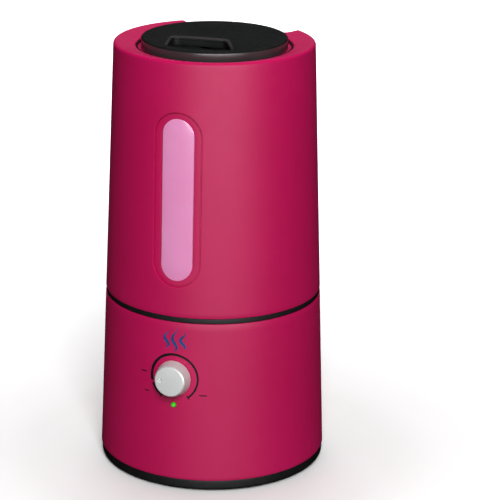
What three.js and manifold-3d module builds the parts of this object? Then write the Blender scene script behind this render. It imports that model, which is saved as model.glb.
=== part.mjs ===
// Cool mist humidifier: a conical tank on a powered base, with a turning mist nozzle on top.
// Millimetres, +Z up. The origin is on the floor under the middle of the base; the front faces -Y.
import * as THREE from 'three';
import { mergeVertices } from 'three/addons/utils/BufferGeometryUtils.js';
import Module from 'manifold-3d';

const wasm = await Module();
wasm.setup();

// ---------------------------------------------------------------- driving dimensions

// The outside is one straight cone, cut into skirt, base, seam ring and tank.
const footRadius = 92;
const rimRadius = 79.8;
const skirtHeight = 9.8;
const baseHeight = 130.6;
const seamHeight = 4.5;
const tankHeight = 202.2;
const wall = 2.6;
const gap = 0.3; // between pieces that touch
const running = 0.5; // between pieces that turn or slide

// Foot skirt and base plate
const footPadRise = 1.2; // how far the rubber pads hold the plate off the floor
const footPadRadius = 8;
const footPadInset = 14; // from the skirt's outside to a pad's middle
const footPadSink = 1;
const skirtInset = 0.6;
const skirtRound = 2.5;
const spigotHeight = 5.5;
const screwRadius = 1.9;
const screwHeadRadius = 3.9;
const screwHeadHeight = 1.1;
const screwLength = 17;
const screwInset = 10; // from the shell's inside to a screw
const bossRadius = 4.6;
const bossTop = 26;
const footAngles = [22.5, 112.5, 202.5, 292.5];
const screwAngles = [-10, 80, 170, 260];

// Water trough, whose flange is the seam ring
const troughRadius = 78; // inside the basin
const troughWall = 2.4;
const troughDepth = 32.8; // from the flange's top to the basin floor
const lipHeight = 3.4;
const wellRadius = 20;
const wellDepth = 10.8;
const wellHoleRadius = 8;

// Tank, its deck and its window
const deckDrop = 3.4; // from the rim to the deck's inner edge
const pocketDepth = 2.4;
const rimRound = 2.5;
const tankFloorLift = 5.1; // from the tank's lower edge to the underside of its floor
const chimneyRadius = 18;
const chimneyWall = 1.8;
const chimneyDrop = 19; // how far the chimney hangs below the tank's edge
const windowWidth = 26.5;
const windowLow = 28.1; // heights above the tank's lower edge
const windowHigh = 158.6;
const bezelWidth = 39;
const bezelMargin = 4.1; // above and below the lens
const bezelDepth = 0.8;
const lensFlange = 3;
const lensThickness = 1.7;
const gripAngle = 31.5; // half the finger recess, seen from above
const gripDepth = 10;
const gripShelf = 3.9; // flat part of the recess, in from the rim

// Nozzle on top
const capRadius = 57.9;
const capMargin = 2.8; // round the cap, to the seat ring
const capRise = 3.2; // above the rim
const capWall = 2;
const capTop = 2.4;
const capLift = 0.6; // skirt above the pocket floor
const nozzleTubeDrop = 19;
const chuteWall = 1.6;
const seatRingWall = 1.3;
const slotBackLeft = [-31.4, -10.9];
const slotBackRight = [12.7, -9.1];
const slotFrontAngles = [-53.9, -120]; // where the front arc starts and ends, about the axis
const slotMargin = 9.5; // from the cap's edge to the front arc

// Fill cap with its valve, under the tank floor
const fillPlace = [0, 46];
const neckRadius = 19;
const neckWall = 2.5;
const neckLength = 13;
const capClearance = 0.4; // cap over the neck, thread height
const fillCapWall = 2.6;
const fillCapFloor = 2.4;
const valvePortRadius = 4.6;
const valveStemRadius = 2.2;
const valveDiscRadius = 7.5;
const valveDiscHeight = 2;
const valveSealHeight = 0.8;
const valveTravel = 3.5;
const valveStemDrop = 7; // below the cap
const capSealHeight = 2.2;
const cageWall = 1.4;
const springRoom = 5.2; // for the closed spring
const springWire = 0.45;
const springTurns = 3;

// Float gauge
const floatPlace = [-48, 8];
const floatPostRadius = 3;
const floatRest = 1; // above the basin floor
const floatRadius = 12;
const floatHeight = 8;
const floatTravel = 10;

// Blower, air duct and air tower
const fanPlace = [36, 36];
const fanRadius = 34;
const fanHeight = 30;
const fanBladeCount = 14;
const fanMotorRadius = 10;
const fanMotorHeight = 12;
const fanIntakeRadius = 24;
const grilleSlot = 3;
const grilleStep = 6.5;
const towerPlace = [46, 20];
const towerRadius = 7.4; // air passage
const towerWall = 2;
const towerHeight = 24.6; // above the basin floor

// Mist knob, its potentiometer and the lamp under it
const knobHeight = 94.4;
const knobRadius = 14.4; // at the panel
const knobLength = 10;
const knobTaper = 1.8;
const knobChamfer = 0.9;
const knobFace = 2.5; // solid left over the shaft
const knobRecess = 3.2; // room for the nut
const shaftRadius = 2.9;
const bushRadius = 4.1;
const potSize = 17;
const potDepth = 9;
const lampDrop = 22.6;
const lampRadius = 1.95;

// Power and driver parts on the base plate
const boardSize = [52, 44];
const boardPlace = [-36, -30];
const boardThickness = 1.6;
const boardLift = 16;
const sinkHeight = 30;
const finThickness = 1.6;
const finDepth = 11;
const finPitch = 6;
const capacitorRadius = 4.5;
const capacitorHeight = 18;
const chokeRadius = 7;
const coreFrame = 6; // top and bottom bars of the transformer's core
const coreWindow = 9;
const coreLeg = 7;
const transformerPlace = [34, -38];
const transformerSize = [38, 32, 34];
const glandRadius = 6;
const glandRim = 2.4; // flange beyond the gland's body
const glandWall = 2.8;
const glandLift = 2; // flange above the base plate's spigot
const glandReach = 9; // outside the shell

// How many flats stand for a full round: on the casing, on middling pieces and on small ones
const fine = 48;
const medium = 24;
const coarse = 12;

// ---------------------------------------------------------------- levels and radii that follow

const skirtTop = skirtHeight;
const baseTop = skirtTop + baseHeight;
const seamTop = baseTop + seamHeight;
const rimTop = seamTop + tankHeight;
const plateTop = footPadRise + wall;
const coneSlope = (footRadius - rimRadius) / (rimTop - skirtTop);
const coneTilt = Math.atan(coneSlope);
const basinFloor = seamTop - gap - troughDepth;
const tankFloorLow = seamTop + tankFloorLift;
const tankFloorTop = tankFloorLow + wall;
const deckEdge = rimTop - deckDrop;
const pocketFloor = deckEdge - pocketDepth;
const pocketRadius = capRadius + capMargin + seatRingWall + gap;
const wellFloor = basinFloor - wellDepth;
const glandHeight = skirtTop + spigotHeight + glandLift + glandRadius + glandRim;
const neckEnd = tankFloorLow - neckLength;
const capSealTop = neckEnd - gap;
const capSealLow = capSealTop - capSealHeight;
const capFloorTop = capSealLow - gap;
const capFloorLow = capFloorTop - fillCapFloor;
const stemEnd = capFloorLow - valveStemDrop;

const outside = (z) => footRadius - coneSlope * (z - skirtTop);
const inside = (z) => outside(z) - wall;
const radians = THREE.MathUtils.degToRad;
const onCircle = (radius, angle) => [radius * Math.cos(radians(angle)), radius * Math.sin(radians(angle))];

// ---------------------------------------------------------------- shapes

// Shares the vertices, drops the slivers that a lathe leaves on its axis and points the faces out.
function closed(geometry) {
  const bare = new THREE.BufferGeometry();
  const flat = geometry.index ? geometry.toNonIndexed() : geometry;
  bare.setAttribute('position', flat.attributes.position.clone());
  const merged = mergeVertices(bare, 1e-4);
  const corner = (i) => new THREE.Vector3().fromBufferAttribute(merged.attributes.position, i);
  const kept = [];
  let volume = 0;
  for (let i = 0; i < merged.index.count; i += 3) {
    const [a, b, c] = [0, 1, 2].map((k) => merged.index.getX(i + k));
    if (a !== b && b !== c && c !== a) {
      kept.push(a, b, c);
      volume += corner(a).dot(corner(b).cross(corner(c)));
    }
  }
  merged.setIndex(volume < 0 ? kept.reverse() : kept);
  return merged;
}

function solid(geometry) {
  const shape = closed(geometry);
  const vertProperties = new Float32Array(shape.attributes.position.array);
  const triVerts = new Uint32Array(shape.index.array);
  return new wasm.Manifold(new wasm.Mesh({ numProp: 3, vertProperties, triVerts }));
}

function fromSolid(body) {
  const mesh = body.getMesh();
  const geometry = new THREE.BufferGeometry();
  geometry.setAttribute('position', new THREE.BufferAttribute(new Float32Array(mesh.vertProperties), 3));
  geometry.setIndex(new THREE.BufferAttribute(new Uint32Array(mesh.triVerts), 1));
  return geometry;
}

// Joins and then cuts, both lists being geometries.
function worked(geometry, joins, cuts) {
  let body = solid(geometry);
  for (const piece of joins) body = body.add(solid(piece));
  for (const piece of cuts) body = body.subtract(solid(piece));
  return fromSolid(body);
}

// A profile of [radius, height] points turned about Z; a ring's profile closes on itself.
function turned(profile, segments = coarse) {
  const points = profile.map(([radius, height]) => new THREE.Vector2(radius, height));
  const onAxis = profile[0][0] === 0 && profile[profile.length - 1][0] === 0;
  if (!onAxis) points.push(points[0].clone());
  return new THREE.LatheGeometry(points, segments).rotateX(Math.PI / 2);
}

const rod = (radius, low, high, segments = coarse) =>
  turned([[0, low], [radius, low], [radius, high], [0, high]], segments);
const tube = (outer, inner, low, high, segments = coarse) =>
  turned([[outer, low], [outer, high], [inner, high], [inner, low]], segments);
const block = (width, depth, low, high) =>
  new THREE.BoxGeometry(width, depth, high - low).translate(0, 0, (low + high) / 2);

function arc(centre, radius, from, to, steps) {
  return Array.from({ length: steps + 1 }, (_, i) => {
    const [x, y] = onCircle(radius, from + ((to - from) * i) / steps);
    return [centre[0] + x, centre[1] + y];
  });
}

// A layer of the cone's wall, between two depths under its outside.
function coneLayer(outerDepth, innerDepth, low, high, segments = fine) {
  return turned([
    [outside(low) - outerDepth, low],
    [outside(high) - outerDepth, high],
    [outside(high) - innerDepth, high],
    [outside(low) - innerDepth, low],
  ], segments);
}

// An upright slot outline with round ends, cut from the axis out through the front wall.
function stadium(width, low, high) {
  const radius = width / 2;
  const shape = new THREE.Shape();
  shape.absarc(0, high - radius, radius, 0, Math.PI);
  shape.absarc(0, low + radius, radius, Math.PI, 2 * Math.PI);
  const reach = { depth: footRadius * 2, bevelEnabled: false, curveSegments: 10 };
  return new THREE.ExtrudeGeometry(shape, reach).rotateX(Math.PI / 2);
}

function moved(geometry, [x, y], z = 0) {
  return geometry.translate(x, y, z);
}

// ---------------------------------------------------------------- materials and the scene graph

const finish = (color, roughness, metalness = 0, more = {}) =>
  new THREE.MeshStandardMaterial({ color, roughness, metalness, ...more });
const crimson = () => finish(0xb3174f, 0.25);
const blackAbs = () => finish(0x1b1b1b, 0.4);
const rubber = () => finish(0x202020, 0.9);
const steel = () => finish(0xb9bcc0, 0.35, 1);
const whitePlastic = () => finish(0xe2e2de, 0.5);
const pinkLens = () => finish(0xde8cbc, 0.15, 0, { transparent: true, opacity: 0.7 });
const silicone = () => finish(0xd8d4cc, 0.7);
const circuit = () => finish(0x1f5c35, 0.5);

const humidifier = new THREE.Group();
const base = new THREE.Group();
const tank = new THREE.Group();
const nozzle = new THREE.Group();
const fillCap = new THREE.Group();
const controls = new THREE.Group();
humidifier.add(base, tank);
tank.add(nozzle, fillCap);
base.add(controls);
fillCap.position.set(...fillPlace, 0);
controls.position.set(0, -outside(knobHeight), knobHeight);
controls.rotation.x = Math.PI / 2 - coneTilt;

function add(group, name, geometry, material, place = [0, 0, 0]) {
  const mesh = new THREE.Mesh(closed(geometry), material);
  mesh.name = name;
  mesh.position.set(...place);
  group.add(mesh);
}

// ---------------------------------------------------------------- base plate, feet and screws

const skirtRadius = footRadius - skirtInset;
const spigotRadius = inside(skirtTop + spigotHeight) - gap;
const footCircle = skirtRadius - footPadInset;
const screwCircle = inside(bossTop) - screwInset;
const standHeight = boardLift - gap;
const boardCorners = [-1, 1].flatMap((i) => [-1, 1].map((j) => [
  boardPlace[0] + i * (boardSize[0] / 2 - 5),
  boardPlace[1] + j * (boardSize[1] / 2 - 5),
]));

function basePlate() {
  const plate = turned([
    [0, footPadRise],
    ...arc([skirtRadius - skirtRound, footPadRise + skirtRound], skirtRound, -90, 0, 4),
    [skirtRadius, skirtTop - gap],
    [spigotRadius, skirtTop - gap],
    [spigotRadius, skirtTop + spigotHeight],
    [spigotRadius - wall, skirtTop + spigotHeight],
    [spigotRadius - wall, plateTop],
    [0, plateTop],
  ], fine);
  const stands = boardCorners.map((corner) => moved(rod(3, plateTop - 1, standHeight), corner));
  const cuts = [];
  for (const angle of footAngles) {
    const pocket = rod(footPadRadius + gap, 0, footPadRise + footPadSink);
    cuts.push(moved(pocket, onCircle(footCircle, angle)));
  }
  for (const angle of screwAngles) {
    const place = onCircle(screwCircle, angle);
    cuts.push(moved(rod(screwRadius + gap, 0, plateTop + 1), place));
    cuts.push(moved(rod(screwHeadRadius + gap, 0, footPadRise + screwHeadHeight), place));
  }
  const slots = Math.floor((fanIntakeRadius - grilleSlot) / grilleStep);
  for (let i = -slots; i <= slots; i += 1) {
    const length = 2 * Math.sqrt(fanIntakeRadius ** 2 - (i * grilleStep) ** 2) - grilleSlot;
    cuts.push(block(length, grilleSlot, 0, plateTop + 1)
      .translate(fanPlace[0], fanPlace[1] + i * grilleStep, 0));
  }
  return worked(plate, stands, cuts);
}

add(base, 'base_plate', basePlate(), blackAbs());

footAngles.forEach((angle, i) => {
  const pad = rod(footPadRadius, 0, footPadRise + footPadSink - gap);
  add(base, `rubber_foot_${i + 1}`, pad, rubber(), [...onCircle(footCircle, angle), 0]);
});

screwAngles.forEach((angle, i) => {
  const low = footPadRise + gap;
  const neck = low + screwHeadHeight - 2 * gap;
  const screw = turned([
    [0, low], [screwHeadRadius, low], [screwHeadRadius, neck],
    [screwRadius, neck], [screwRadius, low + screwLength], [0, low + screwLength],
  ]);
  add(base, `base_screw_${i + 1}`, screw, steel(), [...onCircle(screwCircle, angle), 0]);
});

// ---------------------------------------------------------------- base shell

// Turns a geometry made about the knob's axis, with +Z out of the panel, into the base's frame.
function facingPanel(geometry) {
  controls.updateMatrix();
  return geometry.applyMatrix4(controls.matrix);
}

function baseShell() {
  const shell = coneLayer(0, wall, skirtTop, baseTop);
  const joins = [];
  const cuts = [
    facingPanel(rod(bushRadius + gap, -wall * 2, wall)),
    facingPanel(rod(lampRadius + gap, -wall * 2, wall).translate(0, -lampDrop, 0)),
    rod(glandRadius + gap, 0, wall * 4).rotateX(-Math.PI / 2)
      .translate(0, inside(glandHeight) - wall * 2, glandHeight),
  ];
  for (const angle of screwAngles) {
    const ribLow = skirtTop + spigotHeight + gap;
    const rib = block(screwInset + wall / 2, wall, ribLow, bossTop)
      .translate(screwCircle + (screwInset + wall / 2) / 2, 0, 0).rotateZ(radians(angle));
    const place = onCircle(screwCircle, angle);
    joins.push(moved(rod(bossRadius, plateTop + gap, bossTop), place), rib);
    cuts.push(moved(rod(screwRadius + gap, 0, footPadRise + screwLength + 2 * gap), place));
  }
  return worked(shell, joins, cuts);
}

add(base, 'base_shell', baseShell(), crimson());

// ---------------------------------------------------------------- water trough

const troughOutside = troughRadius + troughWall;
const troughUnder = basinFloor - troughWall;
const flangeLow = baseTop + gap;
const flangeTop = seamTop - gap;
const flangeRadius = outside(seamTop) - 0.2;
const floatPostHeight = floatRest + floatHeight + floatTravel + 1;

function waterTrough() {
  const bowl = turned([
    [wellHoleRadius, wellFloor - troughWall],
    [wellRadius + troughWall, wellFloor - troughWall],
    [wellRadius + troughWall, troughUnder],
    [troughOutside, troughUnder],
    [troughOutside, flangeLow],
    [flangeRadius, flangeLow],
    [flangeRadius, flangeTop],
    [troughOutside, flangeTop],
    [troughOutside, flangeTop + lipHeight],
    [troughRadius, flangeTop + lipHeight],
    [troughRadius, basinFloor],
    [wellRadius, basinFloor],
    [wellRadius, wellFloor],
    [wellHoleRadius, wellFloor],
  ], fine);
  const tower = moved(rod(towerRadius + towerWall, troughUnder, basinFloor + towerHeight), towerPlace);
  const post = moved(rod(floatPostRadius, troughUnder, basinFloor + floatPostHeight), floatPlace);
  const pin = moved(rod(valveStemRadius, troughUnder, stemEnd - gap), fillPlace);
  const passage = moved(rod(towerRadius, troughUnder - 1, basinFloor + towerHeight + 1), towerPlace);
  return worked(bowl, [tower, post, pin], [passage]);
}

add(base, 'water_trough', waterTrough(), blackAbs());

// Mist generator: a disc clamped under the well's hole
const sealTop = wellFloor - troughWall - gap;
const discTop = sealTop - 1.4 - gap;
const clampTop = discTop - 1 - gap;
add(base, 'transducer_seal', tube(12.5, wellHoleRadius, sealTop - 1.4, sealTop), silicone());
add(base, 'transducer_disc', rod(10, discTop - 1, discTop), steel());
add(base, 'transducer_clamp', tube(14, 7, clampTop - 3.4, clampTop), whitePlastic());

// Air tower's splash guard: a lid on three legs that stand in the passage
function airGuard() {
  const low = basinFloor + towerHeight + 2;
  const legs = [0, 120, 240].map((angle) =>
    block(2, 2, low - 7, low + 0.5).translate(towerRadius - gap - 1.6, 0, 0).rotateZ(radians(angle)));
  return worked(rod(towerRadius + towerWall + 1.5, low, low + 1.6), legs, []);
}
add(base, 'air_guard', airGuard(), blackAbs(), [...towerPlace, 0]);

// Float gauge: the magnet ring rides on the post, over a reed switch under the floor
const floatLow = basinFloor + floatRest;
add(base, 'float_ring', tube(floatRadius, floatPostRadius + running, floatLow, floatLow + floatHeight),
  whitePlastic(), [...floatPlace, 0]);
add(base, 'float_retainer', rod(floatPostRadius + 3, 0, 1.8), blackAbs(),
  [...floatPlace, basinFloor + floatPostHeight + gap]);
add(base, 'reed_switch', block(14, 5, troughUnder - gap - 4, troughUnder - gap), whitePlastic(),
  [...floatPlace, 0]);

// ---------------------------------------------------------------- blower and duct

const fanLow = plateTop + gap;
const fanFloor = fanLow + 2;
const fanTop = fanLow + fanHeight;
const coverTop = fanTop + gap + 2;
const rotorLow = fanFloor + 1;
const hubLow = fanFloor + fanMotorHeight + gap;
const rotorTop = fanTop - 2;

function fanHousing() {
  const cup = turned([
    [fanIntakeRadius, fanLow], [fanRadius, fanLow], [fanRadius, fanTop],
    [fanRadius - 2, fanTop], [fanRadius - 2, fanFloor], [fanIntakeRadius, fanFloor],
  ], medium);
  const hub = rod(fanMotorRadius, fanLow, fanFloor);
  const spokes = [0, 120, 240].map((angle) =>
    block(fanIntakeRadius - 6, 3, fanLow, fanFloor)
      .translate((fanIntakeRadius + 6) / 2 + 1, 0, 0).rotateZ(radians(angle)));
  return worked(cup, [hub, ...spokes], []);
}

function fanCover() {
  const lid = rod(fanRadius, fanTop + gap, coverTop, medium);
  const offset = [towerPlace[0] - fanPlace[0], towerPlace[1] - fanPlace[1]];
  const hole = moved(rod(towerRadius, fanTop, coverTop + 1), offset);
  return worked(lid, [], [hole]);
}

function fanImpeller() {
  const tipRadius = fanRadius - 2 - 3 * running;
  const bladeDepth = 9;
  const joins = [rod(fanMotorRadius + 1, hubLow, rotorTop)];
  for (let i = 0; i < fanBladeCount; i += 1) {
    const blade = block(1.4, bladeDepth, rotorLow, rotorTop).rotateZ(radians(28));
    joins.push(blade.translate(0, tipRadius - bladeDepth / 2, 0).rotateZ((2 * Math.PI * i) / fanBladeCount));
  }
  return worked(rod(tipRadius - 0.5, rotorTop - 1.6, rotorTop, medium), joins, []);
}

add(base, 'fan_housing', fanHousing(), blackAbs(), [...fanPlace, 0]);
add(base, 'fan_cover', fanCover(), blackAbs(), [...fanPlace, 0]);
add(base, 'fan_motor', rod(fanMotorRadius, fanFloor + gap, fanFloor + fanMotorHeight), steel(),
  [...fanPlace, 0]);
add(base, 'fan_impeller', fanImpeller(), whitePlastic(), [...fanPlace, 0]);
add(base, 'air_duct', tube(towerRadius + towerWall, towerRadius, coverTop + gap, troughUnder - gap),
  blackAbs(), [...towerPlace, 0]);

// ---------------------------------------------------------------- power and driver parts

const boardLow = boardLift;
const boardTop = boardLow + boardThickness;
add(base, 'driver_board', block(...boardSize, boardLow, boardTop), circuit(), [...boardPlace, 0]);

function finnedSink() {
  const low = boardTop + gap;
  const high = boardTop + sinkHeight;
  const fins = [-2, -1, 0, 1, 2].map((i) =>
    block(finThickness, finDepth, low, high).translate(i * finPitch, (finDepth + finThickness) / 2, 0));
  return worked(block(4 * finPitch + 4, 2 * finThickness, low, high), fins, []);
}
const sinkPlace = [boardPlace[0], boardPlace[1] + 2];
const transistorDepth = 4.4;
add(base, 'heat_sink', finnedSink(), finish(0x9a9da1, 0.45, 1), [...sinkPlace, 0]);
add(base, 'power_transistor', block(10, transistorDepth, boardTop + 6, boardTop + 22), finish(0x222222, 0.5),
  [sinkPlace[0], sinkPlace[1] - finThickness - gap - transistorDepth / 2, 0]);
const canPlaces = [-18, -6].map((x) => [boardPlace[0] + x, boardPlace[1] - 14, 0]);
canPlaces.forEach((place, i) => {
  const can = rod(capacitorRadius, boardTop + gap, boardTop + capacitorHeight);
  add(base, `capacitor_${i + 1}`, can, finish(0x23355a, 0.5), place);
});
add(base, 'choke_coil', tube(chokeRadius, chokeRadius / 2, boardTop + gap, boardTop + chokeRadius),
  finish(0xa8642c, 0.5, 0.6), [boardPlace[0] + 14, boardPlace[1] - 13, 0]);

const [coreWidth, coreDepth, coreHeight] = transformerSize;
const coreLow = plateTop + gap;
const coreTop = coreLow + coreHeight;
function transformerCore() {
  const core = block(coreWidth, coreDepth, coreLow, coreTop);
  const windows = [-1, 1].map((side) =>
    block(coreWindow, coreDepth + 2, coreLow + coreFrame, coreTop - coreFrame)
      .translate(side * (coreLeg + coreWindow) / 2, 0, 0));
  return worked(core, [], windows);
}
// The winding wraps the core's middle leg and stands out of its windows, front and back.
function transformerCoil() {
  const low = coreLow + coreFrame + gap;
  const high = coreTop - coreFrame - gap;
  const leg = block(coreLeg + 2 * gap, coreDepth + 2 * gap, low - 1, high + 1);
  return worked(block(coreLeg + 2 * (coreWindow - gap), coreDepth + 14, low, high), [], [leg]);
}
add(base, 'transformer_core', transformerCore(), steel(), [...transformerPlace, 0]);
add(base, 'transformer_coil', transformerCoil(), finish(0xd8c890, 0.7), [...transformerPlace, 0]);

// Cord gland in the rear wall, with an open passage; its flanges clear the curved wall
function cordGland() {
  const flange = glandRadius + glandRim;
  const innerFace = Math.sqrt(inside(glandHeight + flange) ** 2 - flange ** 2) - gap;
  const outerFace = outside(glandHeight - flange) + gap;
  const passage = glandRadius - glandWall;
  return turned([
    [passage, innerFace - 3], [flange, innerFace - 3], [flange, innerFace],
    [glandRadius, innerFace], [glandRadius, outerFace], [flange, outerFace + 0.6],
    [flange, outerFace + 4], [glandRadius, outerFace + 6],
    [glandRadius - 1.4, outerFace + glandReach - gap], [passage, outerFace + glandReach - gap],
  ]).rotateX(-Math.PI / 2);
}
add(base, 'cord_gland', cordGland(), rubber(), [0, 0, glandHeight]);

// ---------------------------------------------------------------- controls on the front panel

// Here the group's +Z points out of the panel and its origin is on the panel, on the knob's axis.
const potFront = -wall - gap;
const potBack = potFront - potDepth;
function potBody() {
  const can = block(potSize, potSize, potBack, potFront - 2 * gap);
  const bush = rod(bushRadius, potFront - 1, 1);
  return worked(can, [bush], [rod(shaftRadius + gap, potBack + 2, 3)]);
}
function knobBody() {
  const skin = turned([
    [0, running],
    [knobRadius, running],
    [knobRadius - knobTaper, running + knobLength - knobChamfer],
    [knobRadius - knobTaper - knobChamfer, running + knobLength],
    [0, running + knobLength],
  ], medium);
  const bore = rod(shaftRadius + gap, 0, knobLength - knobFace);
  const nutSpace = rod(8, 0, knobRecess);
  const dimple = new THREE.SphereGeometry(1.8, 12, 8).translate(-7.4, 0, running + knobLength + 0.9);
  return worked(skin, [], [bore, nutSpace, dimple]);
}
add(controls, 'pot_body', potBody(), steel());
add(controls, 'pot_nut', worked(rod(6.4, gap, gap + 2, 6), [], [rod(bushRadius + gap, 0, 3)]), steel());
add(controls, 'pot_shaft', rod(shaftRadius, potBack + 2 + gap, knobLength - knobFace - gap), steel());
add(controls, 'mist_knob', knobBody(), finish(0xcfd1cf, 0.35, 0.2));
add(controls, 'lamp_lens', turned([
  [0, -wall - 2],
  [lampRadius + 1, -wall - 2],
  [lampRadius + 1, -wall - gap],
  [lampRadius, -wall - gap],
  ...arc([0, 0.1], lampRadius, 0, 90, 5).slice(0, -1),
  [0, lampRadius + 0.1],
]), finish(0x63d13c, 0.2), [0, -lampDrop, 0]);
const boardBack = potBack - gap - boardThickness;
const controlBoard = block(potSize + 9, potSize + lampDrop + 6, boardBack, potBack - gap);
add(controls, 'control_board', controlBoard, circuit(), [0, -lampDrop / 2, 0]);

// ---------------------------------------------------------------- tank

const chimneyBore = chimneyRadius - chimneyWall;
const windowBottom = seamTop + windowLow;
const windowTop = seamTop + windowHigh;

// A ring sector about +Y whose sides lean outwards going up, for the finger recess
function gripCutter() {
  const shape = new THREE.Shape();
  const inner = rimRadius - gripShelf;
  const from = radians(90 - gripAngle);
  const to = radians(90 + gripAngle);
  shape.absarc(0, 0, inner + 40, from, to, false);
  shape.absarc(0, 0, inner, to, from, true);
  const lean = gripDepth + 2;
  return new THREE.ExtrudeGeometry(shape, {
    depth: 1, bevelThickness: lean, bevelSize: lean, bevelSegments: 1, curveSegments: coarse,
  }).translate(0, 0, rimTop - gripDepth + lean);
}

function gripBacking() {
  const shape = new THREE.Shape();
  const from = radians(90 - gripAngle - 16);
  const to = radians(90 + gripAngle + 16);
  shape.absarc(0, 0, inside(rimTop) + 1, from, to, false);
  shape.absarc(0, 0, pocketRadius + wall, to, from, true);
  const low = rimTop - gripDepth - wall;
  const depth = deckEdge - 0.7 - low;
  return new THREE.ExtrudeGeometry(shape, { depth, bevelEnabled: false, curveSegments: coarse })
    .translate(0, 0, low);
}

function tankShell() {
  const roundLow = rimTop - rimRound;
  const shell = turned([
    [outside(seamTop), seamTop],
    ...arc([outside(roundLow) - rimRound, roundLow], rimRound, 0, 90, 4),
    [pocketRadius, deckEdge],
    [pocketRadius, pocketFloor],
    [chimneyBore, pocketFloor],
    [chimneyBore, pocketFloor - wall],
    [pocketRadius + wall, pocketFloor - wall],
    [inside(roundLow), rimTop - rimRound - wall],
    [inside(seamTop), seamTop],
  ], fine);
  const bezel = solid(stadium(bezelWidth, windowBottom - bezelMargin, windowTop + bezelMargin));
  const bezelLayer = solid(coneLayer(-5, bezelDepth, seamTop + 2, rimTop - 2));
  const body = solid(shell)
    .add(solid(gripBacking()))
    .subtract(solid(gripCutter()))
    .subtract(bezel.intersect(bezelLayer))
    .subtract(solid(stadium(windowWidth + 2 * gap, windowBottom - gap, windowTop + gap)));
  return fromSolid(body);
}

function windowLens() {
  const low = windowBottom - lensFlange;
  const high = windowTop + lensFlange;
  const pane = solid(coneLayer(bezelDepth, wall + gap + lensThickness, low - 1, high + 1))
    .intersect(solid(stadium(windowWidth, windowBottom, windowTop)));
  const flange = solid(coneLayer(wall + gap, wall + gap + lensThickness, low - 1, high + 1))
    .intersect(solid(stadium(windowWidth + 2 * lensFlange, low, high)));
  return fromSolid(pane.add(flange));
}

function tankFloor() {
  const plate = tube(inside(tankFloorTop) - gap, chimneyRadius + gap, tankFloorLow, tankFloorTop, fine);
  const neck = moved(rod(neckRadius, neckEnd, tankFloorTop, medium), fillPlace);
  const opening = moved(rod(neckRadius - neckWall, neckEnd - 1, tankFloorTop + 1, medium), fillPlace);
  return worked(plate, [neck], [opening]);
}

add(tank, 'tank_shell', tankShell(), crimson());
add(tank, 'tank_floor', tankFloor(), crimson());
add(tank, 'level_window', windowLens(), pinkLens());
const chimney = tube(chimneyRadius, chimneyBore, seamTop - chimneyDrop, pocketFloor - wall - gap, medium);
add(tank, 'mist_chimney', chimney, crimson());
const seatOuter = pocketRadius - gap;
const seatRing = tube(seatOuter, seatOuter - seatRingWall, pocketFloor + gap, deckEdge - gap, fine);
add(tank, 'nozzle_seat_ring', seatRing, blackAbs());

// ---------------------------------------------------------------- fill cap and valve

// The group's origin is on the floor plane, on the neck's axis.
const capBore = neckRadius + capClearance;
const cageInside = valveDiscRadius + running + 0.8;
const sealLow = capFloorTop + gap;
const discLow = sealLow + valveSealHeight + gap;
const discHigh = discLow + valveDiscHeight;
const cageTop = discHigh + valveTravel + springRoom + cageWall;

function screwCap() {
  return turned([
    [valvePortRadius, capFloorLow], [capBore + fillCapWall, capFloorLow],
    [capBore + fillCapWall, tankFloorLow - running], [capBore, tankFloorLow - running],
    [capBore, capFloorTop], [valvePortRadius, capFloorTop],
  ], medium);
}

function valveCage() {
  const cup = turned([
    [cageInside, capFloorTop + gap], [cageInside + cageWall, capFloorTop + gap],
    [cageInside + cageWall, cageTop], [valveStemRadius + running, cageTop],
    [valveStemRadius + running, cageTop - cageWall], [cageInside, cageTop - cageWall],
  ]);
  const ports = [0, 90].map((angle) =>
    block(60, 5, capFloorTop + 3, cageTop - 4).rotateZ(radians(angle)));
  return worked(cup, [], ports);
}

class SpringPath extends THREE.Curve {
  constructor(radius, low, high, turns) {
    super();
    Object.assign(this, { radius, low, high, turns });
  }

  getPoint(t, target = new THREE.Vector3()) {
    const angle = 2 * Math.PI * this.turns * t;
    const height = THREE.MathUtils.lerp(this.low, this.high, t);
    return target.set(this.radius * Math.cos(angle), this.radius * Math.sin(angle), height);
  }
}

function coilSpring(radius, low, high) {
  const section = new THREE.Shape().absarc(0, 0, springWire, 0, 2 * Math.PI);
  const path = new SpringPath(radius, low + springWire, high - springWire, springTurns);
  return new THREE.ExtrudeGeometry(section, {
    extrudePath: path, steps: springTurns * coarse, curveSegments: 3, bevelEnabled: false,
  });
}

function valvePlunger() {
  return turned([
    [0, stemEnd], [valveStemRadius, stemEnd],
    [valveStemRadius, discLow], [valveDiscRadius, discLow], [valveDiscRadius, discHigh],
    [valveStemRadius, discHigh], [valveStemRadius, cageTop - 2], [0, cageTop - 2],
  ]);
}

add(fillCap, 'fill_cap', screwCap(), blackAbs());
const capSeal = tube(neckRadius - gap, neckRadius - neckWall - 1.5, capSealLow, capSealTop, medium);
add(fillCap, 'cap_seal', capSeal, silicone());
add(fillCap, 'valve_cage', valveCage(), whitePlastic());
add(fillCap, 'valve_plunger', valvePlunger(), whitePlastic());
const valveSeal = tube(valveDiscRadius, valveStemRadius + gap, sealLow, sealLow + valveSealHeight);
add(fillCap, 'valve_seal', valveSeal, silicone());
add(fillCap, 'valve_spring',
  coilSpring((valveStemRadius + cageInside) / 2, discHigh + gap, cageTop - cageWall - gap), steel());

// ---------------------------------------------------------------- nozzle

const capTopLevel = rimTop + capRise;
const capSkirtLow = pocketFloor + capLift;
const nozzleDiscLow = pocketFloor + gap;
const nozzleDiscTop = nozzleDiscLow + 1.4;

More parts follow.
